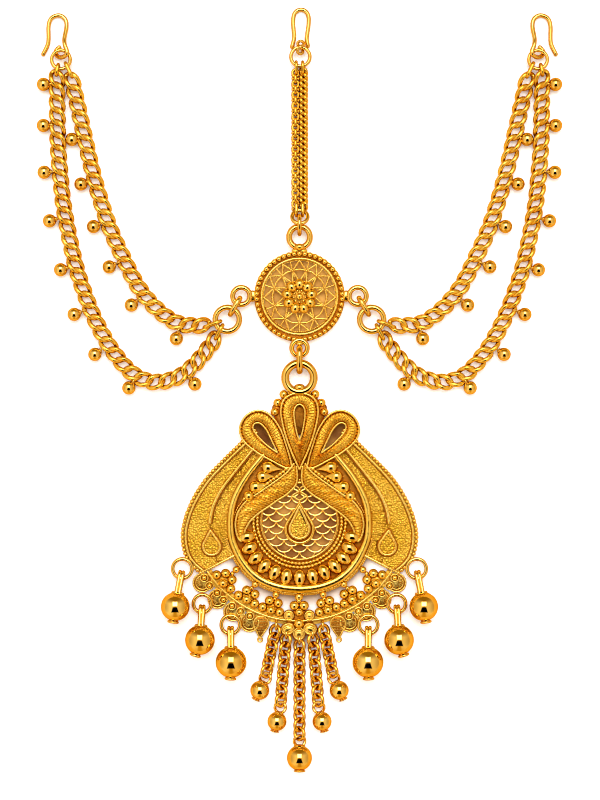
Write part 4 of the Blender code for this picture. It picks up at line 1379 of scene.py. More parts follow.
@dataclass
class Band:
    """The raised horseshoe band, with the sunk plate, bead rows and net inside it.

    A granule row is its radius, first and last angle, height and size; a lozenge is its
    middle, width, height and wire.
    """

    half_line: Points
    centre: Pair = (0.0, -36.7)
    bar_width: float = 2.4
    bar_taper: float = 0.85
    bar_height: float = 2.45
    low_part: float = -41.0
    net_radius: float = 10.75
    net_ring_wire: float = 0.66
    scale_width: float = 4.35
    scale_row: float = 1.72
    scale_bow: float = 1.08
    net_wire: float = 0.42
    net_height: float = 1.05
    granule_rows: tuple[tuple[float, float, float, float, float], ...] = (
        (11.85, 168.0, 372.0, 1.8, 1.05), (12.95, 176.0, 364.0, 1.95, 1.1))
    oval_bead: float = 4.75
    oval_shape: Triple = (0.74, 1.0, 0.7)
    lozenges: tuple[tuple[float, float, float, float], ...] = (
        (-29.6, 4.3, 2.7, 0.55), (-26.6, 2.4, 2.2, 0.5))
    lozenge_beads: Triple = (-31.4, -28.0, -25.1)

    @property
    def line(self) -> Array:
        """The middle line of the band from its left top round to its right top."""
        return mirrored(smooth(self.half_line, 0.35))

    def bar(self, metal: Metalwork) -> None:
        """Build the half-round bar, its wall and its fine edge wires.

        Args:
            metal: What gathers it.
        """
        line = self.line
        share = np.abs(np.linspace(-1.0, 1.0, len(line)))
        metal.of(Finish.SATIN).panel(offset(line, 0.95), offset(line, -0.95), 0.1, 2, level(2.2))
        metal.wire(lifted(line, self.bar_height), self.bar_width - self.bar_taper * share ** 1.5, 20,
                   flat=0.85)
        low = line[line[:, 1] < self.low_part]
        metal.flat_wire(offset(low, -1.35), 2.0, 0.6, 8)
        metal.beaded(lifted(offset(low, -1.75), 1.55), 0.6)

    def dish(self, metal: Metalwork) -> None:
        """Build the sunk plate between the band and the net, dark with painted shade.

        Args:
            metal: What gathers it.
        """
        line = self.line
        edge = np.vstack([line, resampled([line[-1], line[0]], 30)[1:-1]]) - np.array(self.centre)
        angle = math.tau * np.arange(180) / 180
        reach = np.interp(angle, np.arctan2(edge[:, 1], edge[:, 0]) % math.tau,
                          np.hypot(edge[:, 0], edge[:, 1]), period=math.tau)
        spoke = np.column_stack([np.cos(angle), np.sin(angle)])
        outer = np.array(self.centre) + spoke * reach[:, None]
        inner = np.array(self.centre) + spoke * (self.net_radius - 0.1)
        metal.finish = Finish.RECESS
        metal.loft([lifted(inner, 0.2), lifted(inner, 1.0), lifted(outer, 1.1), lifted(outer, 0.2)],
                   closed=True)

    def net(self, metal: Metalwork) -> None:
        """Build the fish-scale net and its ring.

        Args:
            metal: What gathers it.
        """
        metal.finish = Finish.POLISHED
        metal.wire(ring_path((*self.centre, 1.8), self.net_radius, 120), self.net_ring_wire, 12,
                   closed=True)
        half = self.scale_width / 2
        angle = np.radians(np.linspace(0.0, 180.0, 15))
        for row in range(-7, 7):
            for column in range(-5, 6):
                if (row + column) % 2:
                    continue
                x, y = column * half, self.centre[1] - row * self.scale_row
                bow = np.column_stack([x + half * np.cos(angle),
                                       y - self.scale_bow * self.scale_row * np.sin(angle)])
                bow = bow[np.hypot(bow[:, 0], bow[:, 1] - self.centre[1]) < self.net_radius]
                if len(bow) > 4:
                    metal.flat_wire(bow, self.net_height, self.net_wire, 7)

    def rows(self, metal: Metalwork) -> None:
        """Build the rows of fine granules round the net's lower half.

        Args:
            metal: What gathers it.
        """
        metal.finish = Finish.GRAIN
        for radius, start, end, height, size in self.granule_rows:
            metal.beaded(lifted(arc(self.centre, radius, start, end, 180), height), size)

    def oval_beads(self, metal: Metalwork, places: Points) -> None:
        """Set oval beads that point away from the net.

        Args:
            metal: What gathers it.
            places: Their flat places.
        """
        metal.finish = Finish.POLISHED
        for x, y in places:
            turn = math.atan2(y - self.centre[1] + 1.1, x) + math.pi / 2
            metal.bead((x, y, 2.3), self.oval_bead, 32, 20, self.oval_shape, turn, -0.05)

    def middle_drop(self, metal: Metalwork) -> None:
        """Build the hammered teardrop in the net, with its bowl dark with painted shade, and the open
        lozenges above it.

        Args:
            metal: What gathers it.
        """
        bowl = teardrop((0.0, -31.2), (0.0, -39.0), 4.2, 90)
        drop = teardrop((0.0, -32.6), (0.0, -38.8), 2.75, 80)
        metal.of(Finish.RECESS).plate(bowl, 0.5, 1.5, 0.5)
        metal.of(Finish.SATIN).flat_wire(offset(bowl, 0.35, closed=True), 1.7, 0.9, closed=True)
        metal.of(Finish.MATTE).plate(drop, 1.3, 2.3, 0.5)
        metal.of(Finish.WIRE).flat_wire(drop, 2.35, 0.72, closed=True)
        for y, width, height, wire in self.lozenges:
            lozenge = [(0.0, y + height / 2), (-width / 2, y), (0.0, y - height / 2), (width / 2, y)]
            metal.flat_wire(resampled(lozenge, 48, closed=True), 1.7, wire, 8, closed=True)
        for y in self.lozenge_beads:
            metal.bead((0.0, y, 1.9), 0.9)


def drop_bead(metal: Metalwork, head: Numbers, tip: Numbers, size: float,
              height: float) -> None:
    """A bead with a round head drawn out to a tip.

    Args:
        metal: What gathers it.
        head: The flat middle of its head.
        tip: The flat place of its tip.
        size: The diameter of its head.
        height: The height of its middle.
    """
    head, tip = np.array(head), np.array(tip)
    radius = size / 2
    far = float(np.linalg.norm(tip - head))
    distance = np.concatenate([radius * np.cos(np.radians([170, 150, 130, 110, 90, 75])),
                               np.linspace(0.42 * radius, far, 9)])
    tail = np.clip((distance - 0.3 * radius) / (far - 0.3 * radius), 0.0, 1.0)
    width = np.where(distance < 0.3 * radius, np.sqrt(np.maximum(radius ** 2 - distance ** 2, 0.0)),
                     0.954 * radius * (1.0 - tail) ** 1.25 + 0.12)
    path = lifted(head + unit(tip - head) * distance[:, None], height)
    metal.wire(path, 2 * width, 16)


@dataclass
class FlowerPetal:
    """One domed petal of the middle flower, ribbed across, with a wire rim and a painted shadow round it."""

    x: float
    y: float
    wide: float
    tall: float
    turn: float = 0.0
    height: float = 2.55
    shadow: float = 1.36
    dome: float = 0.95
    rim_wire: float = 0.42
    rib_wire: float = 0.3
    ribs: Pair = (-0.2, 0.2)

    def build(self, metal: Metalwork) -> None:
        """Build the petal.

        Args:
            metal: What gathers it.
        """
        place = np.array([self.x, self.y, self.height])
        # A larger dark bead under the dome: painted shadow round the petal.
        for finish, drop, share, thick in ((Finish.RECESS, 0.5, self.shadow, 1.0),
                                           (Finish.SATIN, 0.1, self.dome, 1.2)):
            metal.finish = finish
            metal.bead((self.x, self.y, self.height - drop), 1.0, 22, 12,
                       (self.wide * share, self.tall * share, thick), self.turn)
        metal.finish = Finish.WIRE
        rim = ring_path((0.0, 0.0, 0.0), 1.0, 30) * np.array([self.wide / 2, self.tall / 2, 0.0])
        metal.wire(turned(rim, self.turn) + place, self.rim_wire, 8, closed=True)
        for row in self.ribs:
            half = self.wide / 2 * math.sqrt(1.0 - (2 * row) ** 2) * 0.8
            y = row * self.tall
            rib = resampled([(-half, y, 0.28), (0.0, y, 0.46), (half, y, 0.28)], 7)
            metal.wire(turned(rib, self.turn) + place, self.rib_wire, 6)


@dataclass
class Fringe:
    """The arc below the band, with its granule clusters, fans, ring granules and leaf drops.

    A hatch is a place along the leaf drop and half its width there.
    """

    centre: Pair = (0.0, -33.9)
    radius: float = 30.8
    half_angle: float = 56.5
    arc_edges: Pair = (32.0, 29.7)
    arc_wire: float = 0.66
    granule: float = 2.6
    clusters: tuple[tuple[Pair, ...], ...] = (
        ((-21.4, -54.1), (-23.2, -51.8), (-20.7, -51.4), (-18.9, -53.1), (-19.3, -55.6)),
        ((-14.8, -58.6), (-14.8, -56.1), (-12.5, -57.2), (-12.6, -59.8), (-17.1, -57.5)),
        ((-8.0, -61.6), (-8.4, -59.0), (-6.0, -59.7), (-5.6, -62.2), (-10.3, -60.8)))
    link_beads: tuple[Pair, ...] = ((-17.75, -50.3), (-12.4, -54.4), (-6.6, -57.3))
    small_beads: tuple[Pair, ...] = ((-18.8, -51.4), (-13.4, -55.5), (-6.9, -58.5))
    ring_granules: tuple[Pair, ...] = (
        (-26.7, -52.6), (-25.2, -54.8), (-23.1, -56.8), (-21.3, -58.8), (-18.9, -60.5),
        (-16.5, -62.0), (-13.9, -63.3))
    fans: tuple[Pair, ...] = ((-27.2, -54.0), (-23.0, -58.6), (-18.6, -62.1), (-14.0, -65.1))
    fan_radius: float = 2.65
    fan_root: float = 1.3
    veins: range = range(-80, 81, 20)
    leaf_middle: float = -10.85
    hatches: tuple[Pair, ...] = (
        (-64.2, 1.3), (-64.9, 1.6), (-65.6, 1.65), (-66.3, 1.5), (-67.0, 1.2), (-67.7, 0.8))
    flower_beads: tuple[tuple[float, float, float, float], ...] = (
        (-0.15, -57.9, 1.8, 2.4), (-0.15, -59.1, 1.8, 1.4), (-1.45, -60.4, 1.9, 2.75),
        (1.25, -60.4, 1.9, 2.75), (-0.1, -62.2, 2.6, 2.3), (-0.15, -65.2, 3.4, 2.75),
        (-0.1, -70.1, 2.3, 1.1))
    flower: tuple[FlowerPetal, ...] = (
        FlowerPetal(-2.95, -63.15, 2.4, 2.5), FlowerPetal(2.75, -63.15, 2.4, 2.5),
        FlowerPetal(-3.25, -66.9, 3.4, 2.8, 0.35), FlowerPetal(2.95, -66.9, 3.4, 2.8, -0.35),
        FlowerPetal(-0.15, -68.2, 2.9, 3.2))

    def fan(self, metal: Metalwork, place: Pair) -> None:
        """Build one fan with a double rim and veins.

        Args:
            metal: What gathers it.
            place: The flat place of its middle.
        """
        away = math.degrees(math.atan2(place[1] - self.centre[1], place[0] - self.centre[0]))
        # The fan's dark plate between the veins: painted shade.
        metal.of(Finish.RECESS).disc(place, self.fan_radius, 40, 0.2, 1.2, 0.3)
        metal.finish = Finish.WIRE
        for inside, half, points, height, wire in ((0.1, 125, 40, 1.4, 0.5), (0.78, 105, 30, 1.3, 0.34)):
            line = arc(place, self.fan_radius - inside, away - half, away + half, points)
            metal.flat_wire(line, height, wire, 8)
        root = arc(place, -self.fan_root, away, away, 1)[0]
        for turn in self.veins:
            end = arc(place, self.fan_radius - 0.95, away + turn, away + turn, 1)[0]
            metal.flat_wire(resampled([root, end], 4), 1.25, 0.46, 6)

    def leaf_drop(self, metal: Metalwork) -> None:
        """Build the small hatched drop beside the tassel.

        Args:
            metal: What gathers it.
        """
        outline = teardrop((-11.05, -69.6), (-10.8, -65.5), 2.1, 56)
        # The dark plate under the hatches: painted shade.
        metal.of(Finish.RECESS).plate(outline, 0.3, 1.5, 0.3)
        metal.of(Finish.WIRE).flat_wire(outline, 1.45, 0.48, 8, closed=True)
        for y, half in self.hatches:
            hatch = resampled([(self.leaf_middle - half, y), (self.leaf_middle + half, y)], 5)
            metal.flat_wire(hatch, 1.55, 0.3, 6)
        metal.ring((-11.06, -69.95, 1.3), 0.62, 0.5, 18, 8)

    def half(self, metal: Metalwork) -> None:
        """Build the left half.

        Args:
            metal: What gathers it.
        """
        for first, *others in self.clusters:
            metal.of(Finish.FIELD).disc(first, 2.4, 28, 0.3, 1.0, 0.2)
            metal.finish = Finish.WIRE
            for place in others:
                metal.ring((*place, 1.4), 1.16, 0.36, 28, 8)
            metal.of(Finish.GRAIN).beads(others, 1.75, self.granule, 20, 14)
            metal.bead((*first, 2.5), self.granule, 20, 14)
        metal.beads(self.link_beads, 1.9, 2.0, 14, 9)
        metal.beads(self.small_beads, 1.5, 1.25, 12, 8)
        for place in self.ring_granules:
            # A dark disc under each ring granule: painted shade.
            metal.of(Finish.RECESS).disc(place, 1.0, 20, 0.6, 1.45, 0.1)
            metal.of(Finish.WIRE).ring((*place, 1.85), 1.06, 0.38, 24, 8)
            metal.of(Finish.GRAIN).bead((*place, 1.7), 1.5, 14, 9)
        for place in self.fans:
            self.fan(metal, place)
        self.leaf_drop(metal)

    def middle(self, metal: Metalwork) -> None:
        """Build the arc and the flower in the middle.

        Args:
            metal: What gathers it.
        """
        low, high = 270.0 - self.half_angle, 270.0 + self.half_angle
        outer, inner = (arc(self.centre, radius, low, high, 200) for radius in self.arc_edges)
        metal.finish = Finish.FIELD
        metal.panel(outer, inner, 0.1, 3, lambda plan, along, share: 1.15 + 0.08 * grain(plan, 0.45))
        # A dark disc behind the middle flower: painted shade.
        metal.of(Finish.RECESS).disc((0.0, -65.0), 3.6, 40, 0.3, 1.7, 0.3)
        metal.of(Finish.WIRE).flat_wire(arc(self.centre, self.radius, low, high, 150), 2.0, self.arc_wire)
        metal.finish = Finish.GRAIN
        for *place, size in self.flower_beads:
            metal.bead(place, size, 20, 14)
        for petal in self.flower:
            petal.build(metal)


MIDDLE_PETAL = Petal(
    outline=mirrored([(0.0, -22.2), (-1.1, -19.8), (-2.5, -16.6), (-3.9, -12.6), (-4.8, -9.0), (-5.2, -5.6),
                      (-4.4, -2.8), (-2.4, -1.3), (0.0, -0.9)]),
    window=mirrored([(0.0, -14.0), (-0.7, -12.2), (-1.25, -9.4), (-1.55, -6.4), (-1.1, -4.7), (0.0, -4.0)]),
    lift=0.25)
SIDE_PETAL = Petal(
    outline=[(-2.1, -21.9), (-2.5, -19.5), (-3.7, -15.4), (-5.1, -11.4), (-7.1, -8.2), (-9.3, -6.3),
             (-12.1, -5.8), (-14.9, -7.2), (-16.5, -9.8), (-16.5, -12.4), (-14.9, -15.0), (-11.6, -17.6),
             (-7.7, -19.8), (-4.2, -21.6), (-2.1, -21.9)],
    window=[(-6.1, -17.6), (-7.0, -15.7), (-8.1, -13.4), (-9.4, -10.9), (-11.1, -9.3), (-12.7, -9.5),
            (-12.9, -11.0), (-11.4, -13.2), (-8.9, -15.6), (-6.1, -17.6)],
    lift=-0.35)
WING = Wing(
    border=[(-12.8, -11.0), (-21.4, -19.3), (-26.2, -24.4), (-29.6, -29.5), (-31.8, -34.3), (-33.0, -39.0),
            (-33.0, -42.8), (-32.0, -46.8), (-30.2, -49.4), (-27.9, -51.4)],
    rib=[(-11.0, -14.0), (-19.3, -24.4), (-22.5, -28.9), (-24.5, -33.6), (-25.2, -39.2), (-24.4, -44.5),
         (-23.0, -48.9)],
    arm=[(-9.4, -16.6), (-13.9, -22.4), (-16.8, -28.0), (-18.6, -33.6), (-19.1, -38.0), (-18.8, -42.5),
         (-18.4, -46.4)])
LEAF = Leaf(
    upper=[(-1.55, -20.6), (-3.2, -22.7), (-5.2, -24.4), (-7.4, -26.0), (-9.7, -27.6), (-12.5, -29.5),
           (-14.7, -30.9), (-16.2, -32.6), (-17.3, -34.4), (-17.8, -36.4), (-17.9, -38.1), (-17.6, -40.0),
           (-17.0, -41.6), (-16.4, -42.3)],
    lower=[(-0.85, -21.4), (-0.6, -24.4), (-1.1, -26.6), (-2.7, -28.4), (-4.3, -29.7), (-6.3, -30.9),
           (-8.5, -32.5), (-10.8, -34.0), (-12.5, -35.4), (-13.9, -36.8), (-14.9, -38.5), (-15.5, -40.1),
           (-16.2, -42.0)])
BAND = Band(
    half_line=[(-10.2, -18.3), (-14.2, -23.3), (-17.0, -27.8), (-18.6, -31.6), (-19.2, -35.0),
               (-19.3, -38.1), (-18.9, -41.6), (-17.7, -44.8), (-16.1, -47.8), (-13.5, -51.0),
               (-9.8, -53.6), (-5.0, -55.2), (0.0, -55.7)])
FRINGE = Fringe()


@dataclass
class Plaque:
    """The soldered plaque below the medallion."""

    oval_beads: tuple[Pair, ...] = (
        (-3.7, -52.2), (-6.95, -51.0), (-9.9, -49.3), (-12.35, -47.0), (-14.0, -44.2), (-14.75, -41.1))
    petal_granules: tuple[Pair, ...] = ((-4.4, -1.2), (-6.1, -3.6), (-6.9, -6.2))
    # A dark ribbon through the gaps between the petals: painted shade.
    petal_web: tuple[Pair, ...] = ((-6.4, -5.0), (-5.0, -10.5), (-3.2, -16.0), (-1.7, -21.5))
    web_widths: tuple[float, ...] = (2.6, 2.4, 2.0, 1.4)
    drop_beads: tuple[tuple[Pair, Pair], ...] = (
        ((-8.9, -21.6), (-4.9, -22.2)), ((-10.4, -24.2), (-6.9, -24.1)), ((-12.4, -27.1), (-8.3, -26.2)))
    drop_rings: tuple[Triple, ...] = (
        (-32.8, -50.0, 2.7), (-27.2, -59.8, 2.5), (-19.3, -65.7, 2.6))
    tassel_loops: tuple[Pair, ...] = ((-6.5, -65.9), (-3.7, -68.3))
    ring_wire: float = 1.06
    loop_height: float = 1.6
    loop_radius: float = 1.2
    loop_wire: float = 0.75
    middle_loop: Pair = (0.0, -69.9)
    middle_bead: Pair = (0.0, -52.6)
    large_ring: Triple = (0.0, 3.45, 3.1)
    large_ring_radius: float = 4.0
    large_ring_wire: float = 2.2
    pieces: tuple[tuple[str, str], ...] = (
        ("petals", "satin_gold"), ("wings", "satin_gold"), ("band", "satin_gold"),
        ("fringe", "satin_gold"), ("rings", "polished_gold"))

    def loop(self, rings: Metalwork, x: float, y: float) -> None:
        """One upright loop in which a tassel chain hangs."""
        rings.ring((x, y, self.loop_height), self.loop_radius, self.loop_wire, 28, 10,
                   (1.0, 0.0, 0.0), (0.0, 1.0, 0.0))

    def half(self, parts: Sequence[Metalwork]) -> None:
        """Build the left half.

        Args:
            parts: What gathers the petals, the wings, the band, the fringe and the rings.
        """
        petals, wings, band, fringe, rings = parts
        # A flat dark ribbon between the petals: painted shade in the gap.
        petals.of(Finish.RECESS).wire(lifted(self.petal_web, 1.5), np.array(self.web_widths), 12, flat=0.4)
        SIDE_PETAL.build(petals)
        WING.build(wings)
        LEAF.build(wings)
        FRINGE.half(fringe)
        BAND.oval_beads(band, self.oval_beads)
        petals.of(Finish.GRAIN).beads(self.petal_granules, 1.9, 2.4, 20, 12)
        petals.bead((-2.35, 0.6, 2.4), 1.6, 14, 9)
        wings.of(Finish.GRAIN).bead((-14.2, -29.6, 2.9), 3.0, 20, 14)
        for head, tip in self.drop_beads:
            drop_bead(wings, head, tip, 3.5, 2.7)
        for x, y, radius in self.drop_rings:
            rings.ring((x, y, 2.2), radius, self.ring_wire, 44, 14)
        for x, y in self.tassel_loops:
            self.loop(rings, x, y)

    def build(self) -> None:
        """Build the plaque."""
        parts = [Metalwork() for _ in range(5)]
        petals, _, band, fringe, rings = parts
        rings.finish = Finish.POLISHED
        self.half(parts)
        for part in parts:
            part.repeat_mirrored()
        MIDDLE_PETAL.build(petals)
        # A dark disc under the middle petal: painted shade.
        petals.of(Finish.RECESS).disc((0.0, -6.1), 6.3, 60, 0.6, 1.3, 0.2)
        petals.of(Finish.GRAIN).bead((0.0, 0.7, 3.0), 2.6, 18, 12, (1.2, 0.8, 0.9))
        petals.flat_wire(arc((0.0, -4.9), 5.0, 56.0, 124.0, 24), 2.6, 1.1)
        for stage in (BAND.dish, BAND.bar, BAND.net, BAND.rows):
            stage(band)
        BAND.oval_beads(band, [self.middle_bead])
        BAND.middle_drop(band)
        FRINGE.middle(fringe)
        rings.ring(self.large_ring, self.large_ring_radius, self.large_ring_wire, 64, 20)
        self.loop(rings, *self.middle_loop)
        for part, (name, slot) in zip(parts, self.pieces):
            part.make("plaque_" + name, slot, "pendant_plaque")


# Drops and tassels


@dataclass
class BallDrop:
    """A polished ball with a slotted bail through its ring and a small cap below."""

    number: int
    ring: Pair
    ring_radius: float
    ball: Pair
    size: float
    cap: Pair
    ring_height: float = 2.2
    bail_wire: float = 1.0
    bail_radius: float = 1.3
    bail_half_gap: float = 0.45
    eye_play: float = 0.55
    collar: tuple[Pair, ...] = ((0.0, 1.75), (0.25, 1.85), (0.5, 1.7), (0.62, 1.2), (0.62, 0.2))
    collar_sink: float = 0.42
    cap_shape: tuple[Pair, ...] = (
        (0.0, 1.35), (0.35, 1.3), (0.55, 1.55), (0.8, 1.65), (1.0, 1.55), (1.15, 1.2), (1.2, 0.5))
    cap_sink: float = 0.45

    def build(self, side: Side) -> None:
        """Build the drop.

        Args:
            side: Its side.
        """
        ring, ball = side.place(self.ring), side.place(self.ball)
        down = unit(ball - ring)
        radius = self.size / 2
        wire = np.array([*(ring + down * self.ring_radius), self.ring_height])
        centre = np.array([*ball, radius])
        eye = wire - np.array([*down, 0.0]) * self.eye_play
        up = unit(wire - centre)
        foot = centre + up * (radius - self.bail_radius + 0.2)
        metal = Metalwork(Finish.POLISHED)
        across = unit(np.cross(up, UP))
        for shift in (-self.bail_half_gap, self.bail_half_gap):
            metal.link(eye + across * shift, foot + across * shift, self.bail_radius, self.bail_wire)
        metal.bead(wire + np.array([*(down * 0.15), 0.95]), 2.2, 20, 12, (1.0, 1.0, 0.8))
        metal.bead(centre, self.size, 64, 40)
        metal.lathe(centre + up * (radius - self.collar_sink), up, self.collar, 32)
        cap = unit(np.array([*side.place(self.cap), 0.0]))
        metal.lathe(centre + cap * (radius - self.cap_sink), cap, self.cap_shape, 32)
        name = f"ball_drop_{side.word}_{self.number}"
        metal.make(name + "_ball", "polished_gold", name)


@dataclass
class CableChain:
    """Oval links that lean to one side and the other by turns."""

    width: float = 3.5
    wire: float = 1.0
    pitch: float = 2.42
    lean: float = 41.0

    def lay(self, metal: Metalwork, start: Array, end: Array, height: float, hand: float) -> None:
        """Lay the chain's links on a straight line.

        Args:
            metal: What gathers the links.
            start: The flat place of the first link's outer end.
            end: The flat place of the last link's outer end.
            height: The height of the links' middle.
            hand: The side to which the first link leans, 1 or -1.
        """
        total = float(np.linalg.norm(end - start))
        heading = unit(end - start)
        across = np.array([-heading[1], heading[0], 0.0])
        count = max(2, round((total - self.wire) / self.pitch))
        pitch = (total - self.wire) / count
        lean = math.radians(self.lean)
        radius = (self.width - self.wire) / 2 / math.cos(lean)
        for number in range(count):
            middle = start + heading * ((number + 0.5) * pitch + self.wire / 2)
            turn = hand * lean * (1 if number % 2 else -1)
            normal = np.array([0.0, 0.0, math.cos(turn)]) + across * math.sin(turn)
            stretch = max(0.05, pitch + self.wire - 2 * radius)
            metal.ring((*middle, height), radius, self.wire, 26, 9, normal, (*heading, 0.0), stretch)


@dataclass
class Tassel:
    """One hanging chain of the tassel with its end ring and ball."""

    number: int
    loop: Pair
    ring: Pair
    ball: Pair
    size: float
    height: float = 1.6
    links: CableChain = field(default_factory=CableChain)
    ring_radius: float = 1.5
    ring_wire: float = 0.8
    ring_points: int = 40
    ring_wave: float = 0.4
    neck_share: float = 0.17
    cap_share: float = 0.21

    def build(self, side: Side) -> None:
        """Build the chain and its ball.

        Args:
            side: Their side.
        """
        loop, low, ball = (side.place(place) for place in (self.loop, self.ring, self.ball))
        down = unit(low - loop)
        metal = Metalwork(Finish.TASSEL)
        end = low - down * (self.ring_radius - self.ring_wire - 0.35)
        self.links.lay(metal, loop + down * 0.05, end, self.height, side.value)
        metal.make(f"tassel_chain_{self.number}_links", "chain_gold", f"tassel_chain_{self.number}")
        metal = Metalwork(Finish.POLISHED)
        angle = math.tau * np.arange(self.ring_points)[:, None] / self.ring_points
        across = np.array([-down[1], down[0]])
        flat = low + self.ring_radius * (np.cos(angle) * across + np.sin(angle) * down)
        path = np.column_stack([flat, self.height + side.value * self.ring_wave * np.sin(2 * angle)])
        metal.wire(path, self.ring_wire, 12, closed=True)
        radius = self.size / 2
        centre = np.array([*ball, radius])
        metal.bead(centre, self.size, 48, 32)
        away = unit(np.array([*(ball - low), 0.0]))
        neck, cap = self.size * self.neck_share, self.size * self.cap_share
        metal.lathe(centre - away * (radius - 0.25), -away,
                    [(0.0, neck * 1.3), (0.2, neck * 1.35), (0.4, neck), (0.5, 0.2)], 20)
        metal.lathe(centre + away * (radius - 0.3), away,
                    [(0.0, cap), (0.25, cap * 0.92), (0.4, cap * 1.1), (0.6, cap * 1.1),
                     (0.72, cap * 0.8), (0.75, 0.3)], 24)
        metal.make(f"tassel_ball_{self.number}_ball", "polished_gold", f"tassel_ball_{self.number}")


DROPS = (
    BallDrop(1, (-32.8, -50.0), 2.7, (-34.7, -60.5), 8.0, (-0.14, -0.99)),
    BallDrop(2, (-27.2, -59.8), 2.5, (-27.8, -69.8), 8.3, (-0.29, -0.96)),
    BallDrop(3, (-19.3, -65.7), 2.6, (-19.1, -76.0), 8.6, (-0.04, -1.0)),
)
OUTER_TASSEL = ((-6.5, -65.9), (-9.6, -80.7), (-11.1, -84.0), 5.3)
INNER_TASSEL = ((-3.7, -68.3), (-5.4, -88.9), (-6.3, -92.7), 5.3)
MIDDLE_TASSEL = ((0.0, -69.9), (0.0, -98.3), (0.0, -102.8), 7.0)
TASSELS = ((OUTER_TASSEL, Side.LEFT), (INNER_TASSEL, Side.LEFT), (MIDDLE_TASSEL, Side.LEFT),
           (INNER_TASSEL, Side.RIGHT), (OUTER_TASSEL, Side.RIGHT))

MIDDLE_LINE = (
    Hook("centre_hook", CENTRE_HOOK_ROUTE, CENTRE_HOOK_WRAP),
    RoundRing("centre_top_ring", (0.25, 93.3, 2.1), 2.66, 1.0),
    CentreChain(),
    RoundRing("crown_ring", (0.1, 48.4, 3.2), 2.2, 1.06, 30.0, 44, 14),
    UprightLink("crown_link", (0.0, 46.15, 3.6), (0.0, 46.05, 3.6), 2.45, 1.2),
    Medallion(),
    UprightLink("pendant_link", (0.0, 9.55, 3.1), (0.0, 7.45, 3.1), 2.2, 1.75),
    Plaque(),
)


# Studio


